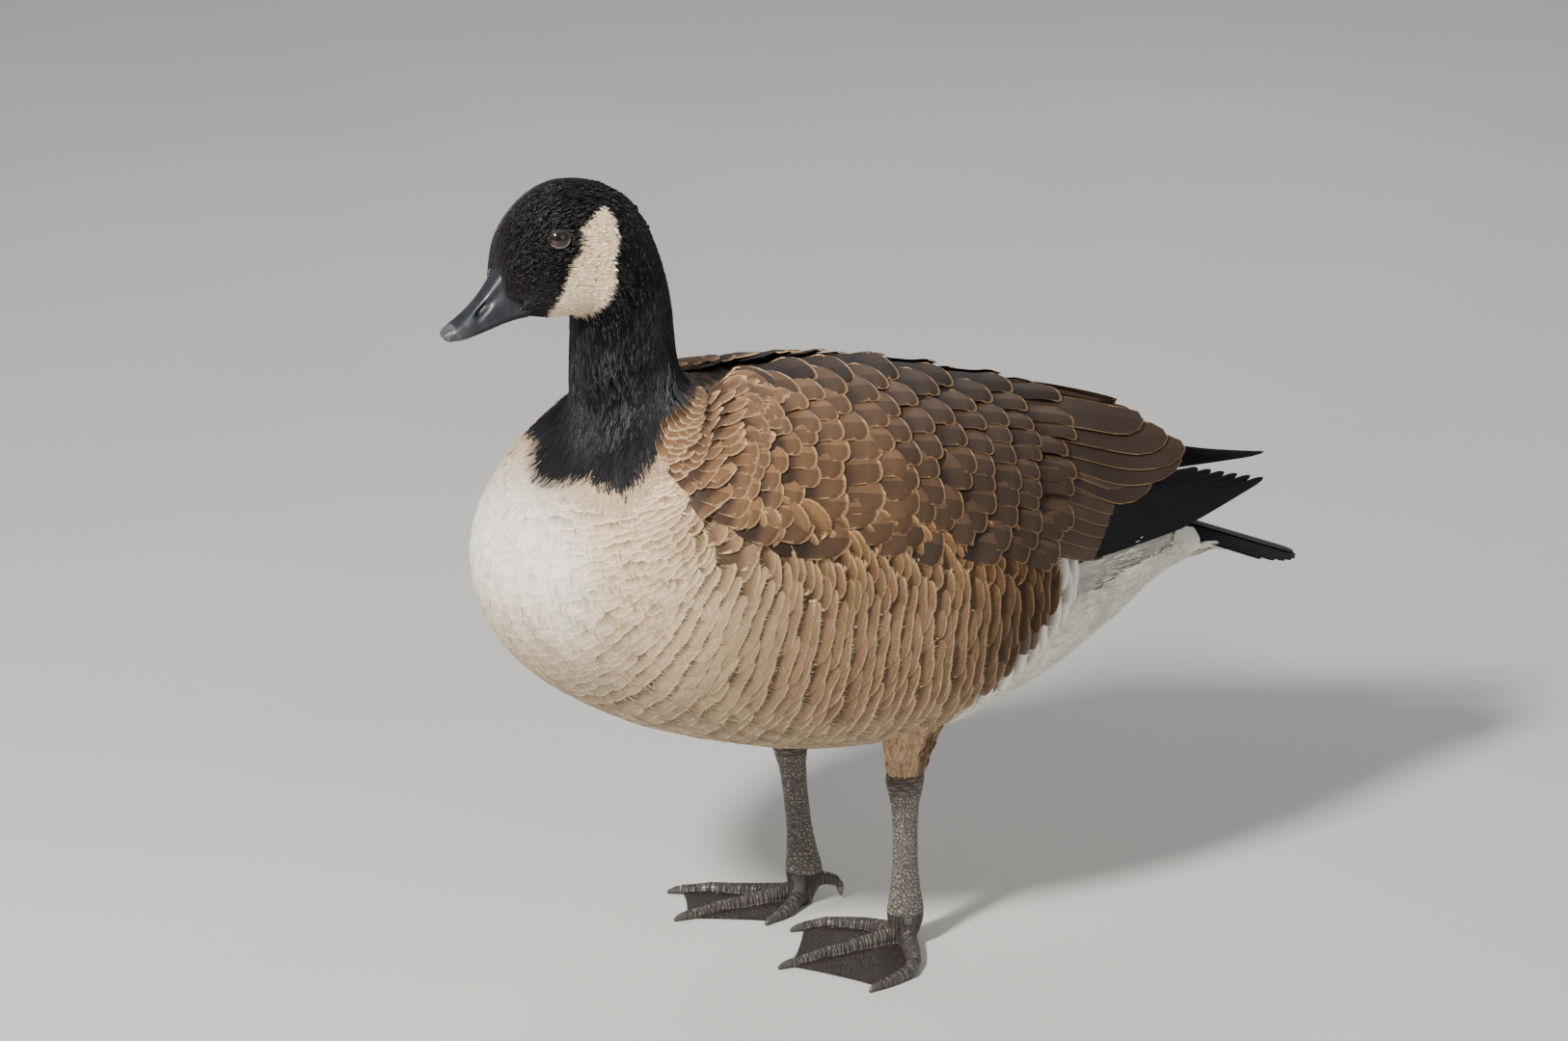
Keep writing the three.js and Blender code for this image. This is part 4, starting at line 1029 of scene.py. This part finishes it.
eye_gloss = toned("eye_gloss", 0.1, 900, 0.00002, 0.75, 1.25, coat=0.9)
eye_gloss.node_tree.nodes["Principled BSDF"].inputs["Specular IOR Level"].default_value = 0.3
lid_skin = toned("lid_skin", 0.5, 1800, 0.0003, 0.75, 1.25)
pupil_edge, iris_edge = (2.6, 3.2), (4.6, 5.6)
for side, side_name in ((1, "left"), (-1, "right")):
    mirror = (side, 1, 1)
    eyeball = wrapped(40, 40, lambda turn, share: ball(turn, share) * mirror, closed=False)
    made = piece_of("eyeball_" + side_name, eyeball, eye_gloss, "eye", "eye_" + side_name)
    away = corners_of(made.data) - eye_centre * mirror
    off = np.linalg.norm(np.cross(away, eye_out * mirror), axis=1)
    pupil_to_iris = mixed(linear(5, 4, 4), linear(38, 24, 18), soft(off, *pupil_edge))
    attribute(made.data, "ground", mixed(pupil_to_iris, linear(16, 12, 10), soft(off, *iris_edge)))

    rings = bmesh.new()
    for grow, thick, sink in ((1.0, 0.45, 0.2), (1.17, 0.35, 0.45)):
        ring = wrapped(
            10, 60, lambda turn, share: lid(turn, share, grow, thick, sink) * mirror, closed=False
        )
        kept_ring = bpy.data.meshes.new("ring")
        ring.to_mesh(kept_ring)
        rings.from_mesh(kept_ring)
        bpy.data.meshes.remove(kept_ring)
    made = piece_of("eyelids_" + side_name, rings, lid_skin, "leg_skin")
    heights = corners_of(made.data)[:, 2] - eye_centre[2]
    tint = mixed(linear(96, 84, 74), linear(56, 52, 50), soft(heights, -3.5, 2))
    attribute(made.data, "ground", tint)

# The bill
# Black horn over bone, the upper half overhanging the lower along the mouth line, with
# nostrils in a soft groove and a paler nail at the tip. Each nostril is a shallow dent painted
# nearly black, as painted shade for the open hole. Its base runs in under the feathers.

# culmen y, z, mouth line y, z, lower edge y, z, half width
bill_sections = np.array(
    [
        (-232, 464, -226, 428, -226, 421, 13.5),
        (-242.5, 449, -234, 426.8, -233, 420.5, 13),
        (-250, 439, -242, 424.8, -240.5, 419, 12),
        (-257.5, 431, -251, 421.8, -249, 416.6, 11),
        (-265, 425, -260, 418.8, -257.5, 414.4, 10.4),
        (-271.5, 421, -268.5, 416, -265, 412.8, 9),
        (-276, 417.5, -274, 413.5, -269, 412.4, 5.5),
    ]
)
# Each half's outline across, from its crest outwards to its base, as shares of width and height
upper_outline = np.array(
    [(0, 1), (0.45, 0.93), (0.72, 0.7), (0.9, 0.36), (1, 0.08), (0.97, -0.06), (0.5, 0), (0, 0)]
)
lower_outline = np.array(
    [(0, 1), (0.6, 1), (0.98, 0.92), (1, 0.66), (0.82, 0.25), (0.45, 0.04), (0, 0)]
)
nostril = np.array([-253.5, 430.0])


def from_nostril(yz):
    """How far points in side view lie from the nostril, along it and across it."""
    return (yz - nostril) @ (0.73, 0.68), (yz - nostril) @ (-0.68, 0.73)


def half_bill(turn, share, outline, top, bottom, inset):
    """A half of the bill, between two of the three lines that the sections give."""
    found = along(bill_sections, share * 6)
    at = np.abs(turn) / math.pi * (len(outline) - 1)
    out, rise = np.moveaxis(along(outline, at), -1, 0)
    crest, base = found[:, top], found[:, bottom]
    crest = crest - (0, 0.25) if inset else crest
    yz = base + (crest - base) * rise[:, None]
    x = np.sign(turn) * out * (found[:, 6] - inset)
    if not inset:
        lengthwise, crosswise = from_nostril(yz)
        hole = np.exp(-((lengthwise / 5.2) ** 4) - (crosswise / 1.5) ** 4)
        groove = np.exp(-(((lengthwise - 5.5) / 12) ** 4) - (crosswise / 3.2) ** 2)
        rim = np.exp(-((lengthwise / 7) ** 4) - ((crosswise + 3.0) / 1.2) ** 2)
        nail = soft(share * 6, 5.15, 5.3) * (1 - soft(np.abs(x), 5.2, 6.2))
        x = x * (1 - 0.3 * hole - 0.15 * groove + 0.05 * rim)
        up = (crest - base) / np.linalg.norm(crest - base, axis=1)[:, None]
        yz = yz + up * (0.35 * nail)[:, None]
        x = x * (1 + 0.03 * np.exp(-(((at - 4.3) / 0.45) ** 2)))
    return np.column_stack([x, yz])


bill_horn = toned("bill_horn", 0.44, 420, 0.00035, 0.6, 1.45, coat=0.1, stretch=(1, 0.4, 0.4))
for name, outline, top, bottom, inset in (
    ("upper", upper_outline, slice(0, 2), slice(2, 4), 0.0),
    ("lower", lower_outline, slice(2, 4), slice(4, 6), 2.0),
):
    half = wrapped(
        96, 90, lambda turn, share: half_bill(turn, share, outline, top, bottom, inset)
    )
    made = piece_of("bill_" + name + "_horn", half, bill_horn, "bill_horn", "bill_" + name)
    at = corners_of(made.data)
    nail = (1 - soft(at[:, 1], -270.2, -269.4)) * (1 - soft(np.abs(at[:, 0]), 5.4, 6.2))
    tint = mixed(linear(34, 35, 38), linear(76, 76, 76), nail * (name == "upper"))
    lengthwise, crosswise = from_nostril(at[:, 1:])
    # The nostril is painted nearly black: painted shade for the open hole.
    inner = np.exp(-((lengthwise / 5.4) ** 4) - (crosswise / 1.7) ** 4)
    attribute(made.data, "ground", tint * (1 - 0.96 * inner[:, None] * (name == "upper")))

# The wings
# Folded on the back: rows of rounded coverts from the shoulder, then the long secondaries and
# tertials, and the black primaries that end above the tail.

# How far back the tips of each row of coverts lie, in stations, and how many feathers a row has
covert_tips = (
    -0.3, -0.1, 0.12, 0.34, 0.56, 0.78, 1.0, 1.22, 1.46, 1.74, 2.04, 2.34, 2.64, 2.94, 3.26, 3.6, 3.94,
    4.3, 4.66, 5.2,
)
covert_counts = (11, 11, 11, 11, 10, 10, 9, 9, 8, 8, 8, 7, 7, 7, 7, 7, 8, 8, 10, 11)
scale_vane = vane(8, 8, 1.3)
long_vane = vane(6, 24)
wing_plumage = plumage("wing_plumage", 2.0, 0.6, 0.2, 0.32, 0.35, 0.5)
flight_plumage = plumage("flight_plumage", 0.7, 0.5, 0.14, 0.12)


def wing_width(s):
    """The wing's width at a station, from its upper edge to its lower."""
    upper, middle, lower = (wing_face(s, q) for q in (0.0, 0.5, 1.0))
    return np.linalg.norm(upper - middle, axis=-1) + np.linalg.norm(middle - lower, axis=-1)


front = 0.25
front_marks = np.array([finder.find(wing_face(front, q))[1] for q in (0.0, 0.5, 1.0)])


def shoulder(s, q):
    """Where the coat lies on the body in front of the wing, as t and turn."""
    shares = np.stack([(1 - q) * (1 - 2 * q), 4 * q * (1 - q), q * (2 * q - 1)]).reshape(3, -1)
    t, turn = (grid.flat[front_marks] @ shares for grid in (t_grid, turn_grid))
    return t.reshape(q.shape) - 1.6 * (s - front), turn.reshape(q.shape)


def cells(count):
    """Places of large feathers in the bake map, each with a cell of its own."""
    per_side = math.ceil(math.sqrt(count))
    at = np.arange(count)
    return (at % per_side + 0.5) / per_side, (at // per_side + 0.5) / per_side, 0.9 / per_side


for side, side_name in ((1, "left"), (-1, "right")):

    def face(s, q, height, side=side):
        """The wing's outer face, and in front of the wing the body's."""
        s, q, height = np.broadcast_arrays(np.asarray(s, float), q, height)
        on_wing = wing(s, q, height, side)
        t, turn = shoulder(s, q)
        on_body = body(t, turn, height + 0.4) * (side, 1, 1)
        return mixed(on_body, on_wing, soft(s, front - 0.3, front + 0.3))

    # A bed of brown down fills the wing under its feathers.
    bed = bmesh.new()
    bmesh.ops.create_grid(bed, x_segments=24, y_segments=80, size=1)
    for corner in bed.verts:
        s, q = (corner.co.y * 0.5 + 0.5) * 5.9, corner.co.x * 0.49 + 0.5
        corner.co = row(face(s, q, -2.6))
    bmesh.ops.solidify(bed, geom=bed.faces[:], thickness=-0.003)
    bmesh.ops.recalc_face_normals(bed, faces=bed.faces[:])
    bed_piece = shaped("wing_bed_" + side_name, bed)
    bed_piece.data.shade_smooth()
    brown_bed = np.tile(linear(60, 46, 36), (len(bed_piece.data.vertices), 1))
    attribute(bed_piece.data, "ground", brown_bed)
    dress(bed_piece, down_skin, None)

    # The coverts: rounded scales in rows, each row's tips over the roots of the next.
    s, q, long, wide, gap, order = [], [], [], [], [], []
    for n, (tip, count) in enumerate(zip(covert_tips, covert_counts)):
        pitch = wing_width(max(tip - 0.3, 0)) / count
        for k in range(count + 1):
            at = (k + 0.5 * (n % 2)) / count
            tip_here = tip - 0.14 * (2 * at - 1) ** 2 + 0.045 * rng.normal()
            pace = np.linalg.norm(wing_face(tip_here + 0.02, at) - wing_face(tip_here - 0.02, at)) / 0.04
            exposed = pace * (tip - covert_tips[n - 1] if n else 0.2)
            length = 2.6 * exposed * rng.uniform(0.95, 1.05)
            s.append(tip_here - length / pace)
            q.append(at)
            long.append(length)
            wide.append(pitch * 1.5 * rng.uniform(0.94, 1.08))
            gap.append(exposed)
            order.append(n)
    s, q, long, wide, gap, order = (np.array(k, float) for k in (s, q, long, wide, gap, order))
    u, v, under, _ = scale_vane
    steps = behind(scale_vane, long, 0.36 * wide, 2.5) / gap[:, None]
    height = (1.3 + 0.05 * gap[:, None]) * rolled(steps) - 1.0 * np.maximum(0, steps - 1.1)
    height = height - 0.9 * u**2 + 1.1 * u * side * soft(q, -0.02, 0.15)[:, None] + 0.3 - 0.5 * under
    points, flat, border = laid(
        face, 1, s, q, scale_vane, long, wide, rng.normal(0, 0.05, len(s)), height, 0.36 * wide, 2.5
    )
    flat[..., 0] *= side
    dark = soft(order + rng.normal(0, 0.8, len(s)), 5, 16)
    ground = mixed(linear(138, 109, 87), linear(80, 65, 54), dark)
    ground = ground * rng.uniform(0.85, 1.12, (len(s), 1))
    ground = mixed(ground, linear(54, 43, 36), (1 - soft(q, 0.02, 0.12)) * soft(order, 4, 9))
    fringe = mixed(linear(208, 180, 150), linear(180, 148, 116), dark)
    # Each covert is darker under the tips of the row in front: painted shade.
    sewn(
        "coverts_" + side_name, scale_vane, (points, flat, border), (ground, fringe, steps - 0.2),
        cells(len(s)), wing_plumage, "brown_feather", "wing_" + side_name,
    )

    # The secondaries and tertials: long parallel vanes that run out from under the last coverts.
    # Each row says where a vane starts and where it ends on the wing, its width, lift and tip.
    rows = []
    for k in range(8):
        f = k / 7
        rows.append((4.6, 0.97 - 0.6 * f, 5.95 + 0.2 * f, 0.97 - 0.5 * f, 21, 0.5 * f, 6))
    for k, tip in enumerate((6.45, 6.85, 6.9, 6.6, 6.2)):
        rows.append((4.5, 0.4 - 0.075 * k, tip, 0.56 - 0.12 * k, 25, 1.0 + 0.4 * k, 26))
    s0, q0, s1, q1, wide, lift, cap = (np.array(k, float) for k in zip(*rows))
    start, halfway, end = (
        wing_face(s0 + (s1 - s0) * f, q0 + (q1 - q0) * f) for f in (0.0, 0.5, 1.0)
    )
    chord = np.linalg.norm(halfway - start, axis=1) + np.linalg.norm(end - halfway, axis=1)
    u, v, under, _ = long_vane
    tip_fall = (cap / chord)[:, None] * rounded(u, 1.9)
    run = v * (1 - tip_fall)
    station = s0[:, None] + (s1 - s0)[:, None] * run
    across = u * wide[:, None] / 2
    height = lift[:, None] * v + 1.1 - 3.5 * (1 - v) ** 3 + 0.8 * u * side - 0.5 * u**2 - 0.6 * under
    place = q0[:, None] + (q1 - q0)[:, None] * run + across / wing_width(np.minimum(station, 7.0))
    points = face(station, np.clip(place, 0.01, 0.99), height)
    flat = np.stack([across * side, run * chord[:, None]], -1)
    border = np.minimum((1 - v) * chord[:, None] * (1 - tip_fall), (1 - abs(u)) * wide[:, None] / 2)
    count = len(s0)
    tertial = np.arange(count) >= 8
    ground = mixed(linear(84, 70, 60), linear(66, 55, 48), tertial)
    ground = ground * rng.uniform(0.9, 1.1, (count, 1))
    sewn(
        "secondaries_" + side_name, long_vane, (points, flat, border),
        (ground, linear(158, 130, 104)), cells(count), flight_plumage, "brown_feather",
    )

    # The primaries: long black blades, the lowest outermost.
    count = 6
    n = np.arange(count) * 5 / 6
    longer, blade_length = 0 if side > 0 else 26, 190
    root = np.array([81.5, 84, 250]) + n[:, None] * (-1.6, -1, 5.4)
    middle = np.array([54, 165 + longer * 0.5, 241]) + n[:, None] * (-1.6, -1, 5.4)
    tip = np.array([24 - longer * 0.35, 262 + longer, 249]) + n[:, None] * (-2.2, -10, 2.4)
    run = (v * (1 - 0.06 * rounded(u, 1.7)))[None, :, None]
    line = root[:, None] * (1 - run) ** 2 + middle[:, None] * 2 * run * (1 - run) + tip[:, None] * run**2
    way = (middle - root)[:, None] * (1 - run) + (tip - middle)[:, None] * run
    way /= np.linalg.norm(way, axis=-1, keepdims=True)
    out = np.array([0.82, 0.12, 0.5])
    out /= np.linalg.norm(out)
    up = np.cross(way, out)
    up *= np.where(up[..., 2:] < 0, -1, 1)
    up /= np.linalg.norm(up, axis=-1, keepdims=True)
    half = (17 / 2 * np.minimum(1, 1.9 * (1 - v) + 0.3) * u)[None, :, None]
    lift = (0.6 + 0.5 * u - 0.5 * u**2 - 0.6 * under - 9 * (1 - v) ** 3)[None, :, None]
    points = (line + up * half + out * lift) * (side, 1, 1)
    outward_vane = (u, v, under, long_vane[3][:, ::-1] if side > 0 else long_vane[3])
    flat = np.concatenate([half, run * blade_length], -1)
    border = np.minimum((1 - v) * blade_length, (1 - abs(u)) * 8)
    sewn(
        "primaries_" + side_name, outward_vane, (points, flat, border),
        (linear(9, 9, 11), linear(30, 28, 28)), cells(count), flight_plumage, "tail_feather",
    )

# The tail
# A low fan of stiff black feathers that grow from the body's end, the middle one on top. White
# coverts hide their roots from below.

tail_root, tail_drop, tail_fall = (200, 231.5), 0.34, 0.409
tail_count, tail_length, sunk, covert_sunk = 13, 106, 22, 30
n = (np.arange(tail_count) / (tail_count - 1) - 0.5)[:, None] * 10
u, v, under, _ = long_vane
turned = n * 0.03
reach = (tail_length + sunk) * (1 - 0.012 * n**2) * v * (1 - 0.07 * rounded(u, 1.9)) - sunk
across = u * 9.5
points = np.stack(
    [
        np.maximum(reach, 0) * np.sin(turned) + across * np.cos(turned) + n * (2.2 + 1.3 * (1 - v)),
        tail_root[0] + (reach * np.cos(turned) - across * np.sin(turned)) * math.cos(tail_drop),
        tail_root[1] - reach * tail_fall - 1.25 * np.abs(n) - 0.8 * u**2 - np.sign(n) * u * 0.5
        - 0.6 * under,
    ],
    -1,
)
border = np.minimum((1 - v) * tail_length, (1 - abs(u)) * 9)
flat = np.stack([np.broadcast_to(across, reach.shape), reach], -1)
sewn(
    "tail_feathers", long_vane, (points, flat, border), (linear(8, 8, 10), linear(28, 26, 26)),
    cells(tail_count), flight_plumage, "tail_feather", "tail",
)

# The white coverts lie along the underside of the tail in three tiers.
for tier, (count, longest, drop) in enumerate(((7, 66, 4.5), (7, 58, 8.0), (6, 46, 11.5))):
    n = (np.arange(count) / (count - 1) - 0.5)[:, None] * 7.6
    reach = (longest + covert_sunk) * (1 - 0.014 * n**2) * v * (1 - 0.16 * rounded(u, 1.7)) - covert_sunk
    below = 1.25 * np.abs(n) + drop * (1 - 0.3 * v) + 1.6 * (1 - u**2) + 0.6 * under
    across = u * 8.5
    points = np.stack(
        [
            across + n * (3.4 - 0.8 * v),
            tail_root[0] + reach * math.cos(tail_drop),
            tail_root[1] - reach * tail_fall - below,
        ],
        -1,
    )
    border = np.minimum((1 - v) * longest, (1 - abs(u)) * 8)
    flat = np.stack([np.broadcast_to(across, reach.shape), reach], -1)
    sewn(
        "undertail_coverts_%d" % (tier + 1), long_vane, (points, flat, border),
        (linear(238, 234, 224), linear(246, 243, 236)), cells(count), body_plumage, "pale_feather",
    )

# The thighs
# The lower thigh is feathered down to the hock with short pale plumes, brown behind. They grow from
# the skin in no rows: small tufts, and fine single barbs over them.

thigh_plumage = plumage("thigh_plumage", 0.8, 0.8, 0.25, 0, 0.25, 0.5)
for name in knees:
    surface = thigh(name)
    for label, shape, count, length, width, lift in (
        ("tufts", tuft, 1500, 9, 3.0, 0.6), ("hair", hair, 5200, 9, 0.9, 1.6),
    ):
        _, v, under, _ = shape
        f = -0.5 + 1.5 * rng.random(count)
        turn = 2 * np.pi * rng.random(count)
        size = rng.uniform(0.7, 1.15, count) * (1 - 0.35 * soft(f, 0.6, 1.0))
        height = 0.6 + (lift * v - 0.3 * under) * (1 - 0.6 * soft(f, 0.7, 1.0))[:, None]
        height = height - 1.2 * (1 - v) + rng.normal(0, 0.5, (count, 1)) * v
        vanes = laid(
            surface, 1, f, turn, shape, length * size, width * size, rng.normal(0, 0.18, count), height,
            0.45 * length * size, 1.5,
        )
        behind_axis = surface(f, turn)[:, 1] - surface(f, turn * 0)[:, 1]
        rear = soft(behind_axis, -2, 5) * soft(f + rng.normal(0, 0.06, count), 0.0, 0.3)
        ground = mixed(linear(196, 172, 148), linear(84, 60, 43), rear)
        ground = ground * rng.uniform(0.8, 1.12, (count, 1))
        fringe = mixed(ground, linear(226, 208, 186), 0.4)
        sewn(
            "thigh_" + label + "_" + name, shape, vanes, (ground, fringe),
            (turn / (2 * np.pi), (f + 0.5) / 1.6), thigh_plumage, "pale_feather",
        )

# The legs, feet and claws
# Bare legs in grey leathery skin: small many-sided scales round the shank, broad plates across the
# hock and along the top of each toe, and finely grained webs. The claws are blunt grey horn.


def scaled(name):
    """Skin of small plates, laid out by the place each point has in a map of the scales."""
    material, surface, add = material_nodes(name)
    laid_out = {"Vector": add("Attribute", attribute_name="plates")["Vector"], "Scale": 1}
    crease = add("TexVoronoi", laid_out, feature="DISTANCE_TO_EDGE")["Distance"]
    tone = add("SeparateColor", {"Color": add("TexVoronoi", laid_out)["Color"]})["Red"]
    raised = ranged(add, crease, 0, 0.2, 0, 1, "SMOOTHSTEP")
    grain = noise(add, 900, 5)
    # The colour is darkened to 0.42 in the creases between plates: painted shade.
    shade = ranged(add, raised, 0, 1, 0.42, 1.15)
    for value, low in ((tone, 0.84), (grain, 0.8)):
        shade = add("Math", {0: shade, 1: ranged(add, value, 0, 1, low, 1.2)}, operation="MULTIPLY")[0]
    worn = ranged(add, raised, 0, 1, 0.6, 0.36)
    dressed(add, surface, None, shade, worn, (raised, 0.9, 0.0009), (grain, 0.3, 0.0002))
    fed(surface, {"Specular IOR Level": 0.6})
    return material


# The way of each toe over the floor, [x, y] from the ankle to its tip
toe_paths = {
    "left": (
        ((20, -10), (3, -28), (-2, -45)), ((42, -24), (42, -50), (42, -77)),
        ((64, -4), (86, -17), (95, -45)), ((41, 6), (37, 11), (34, 15)),
    ),
    "right": (
        ((-56, -42), (-76, -65), (-87, -85)), ((-46, -44), (-49, -72), (-50, -100)),
        ((-33, -32), (-26, -42), (-21, -54)), ((-38, -17), (-35, -8), (-33, -1)),
    ),
}
toe_half_width, toe_taper = 6.4, 0.035
scaly_skin = scaled("scaly_skin")
claw_horn = toned("claw_horn", 0.45, 300, 0.0003, 0.75, 1.3, linear(72, 69, 64), stretch=(1, 0.4, 1))
pale_claw = toned("pale_claw", 0.5, 300, 0.0003, 0.75, 1.2, linear(128, 120, 108), stretch=(1, 1, 0.4))
for side_name in knees:
    joints = []
    for node_name in ("tarsus_" + side_name, "foot_" + side_name):
        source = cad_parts[node_name]
        joints.append(linked("leg", source.data.copy()))
        joints[-1].data.transform(source.matrix_world)
    joints[0].name = "leg_" + side_name
    leg = merged(joints, voxel=0.0009, rounds=6)
    at = corners_of(leg.data)
    hock = np.array(knees[side_name][1], float)
    tarsus_box = drawn(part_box("tarsus_" + side_name))
    ankle = np.array([*tarsus_box[:, :2].mean(0), tarsus_box[0, 2]])
    share = np.clip((at[:, 2] - ankle[2]) / (hock[2] - ankle[2]), 0, 1)[:, None]
    off = at - (ankle + (hock - ankle) * share)
    around = np.arctan2(off[:, 0], -off[:, 1])
    # Small many-sided scales round the shank, and broad square plates across the hock.
    broad = soft(at[:, 2], 96, 106)[:, None]
    small = np.column_stack([around * 9.0 / 2.5, at[:, 2] / 2.3 + around * 0.8, np.zeros(len(at))])
    wide_plates = np.column_stack([around * 1.1, at[:, 2] / 2.6, np.ones(len(at)) * 5])
    plates = np.where(broad > 0.5, wide_plates, small)
    ground = mixed(linear(126, 121, 113), linear(88, 78, 69), broad[:, 0])
    # Cross rows along each toe, and fine grain on the webs between.
    on_foot = at[:, 2] < 24 - 0.25 * np.hypot(*(at - ankle)[:, :2].T)
    nearest_toe = np.full(len(at), 99.0)
    for k, path in enumerate(toe_paths[side_name]):
        line = along(np.array([ankle[:2], *path]), np.linspace(0, 3, 160))
        reach = lengths_along(line)
        apart = np.hypot(*(at[:, None, :2] - line).transpose(2, 0, 1))
        lengthwise, sideways = reach[apart.argmin(1)], apart.min(1)
        sideways = sideways - toe_half_width + toe_taper * lengthwise
        closer = on_foot & (sideways < nearest_toe)
        nearest_toe = np.where(closer, sideways, nearest_toe)
        toe_plates = np.column_stack([lengthwise / 2.1, sideways / 9.0, np.full(len(at), 20.0 + 3 * k)])
        plates = np.where((closer & (sideways < 0))[:, None], toe_plates, plates)
    webbed = on_foot & (nearest_toe >= 0)
    plates = np.where(webbed[:, None], at * (0.75, 0.75, 0.3) + (0, 0, 40), plates)
    ground = mixed(ground, linear(68, 63, 59), on_foot * 0.8)
    ground = mixed(ground, linear(54, 47, 43), webbed)
    attribute(leg.data, "ground", ground)
    attribute(leg.data, "plates", plates, "FLOAT_VECTOR")
    dress(leg, scaly_skin, "leg_skin", "tarsus_" + side_name, "foot_" + side_name)
for name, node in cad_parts.items():
    if name.startswith("claw"):
        node.data.materials.clear()
        node.data.materials.append(pale_claw if "hind" in name else claw_horn)
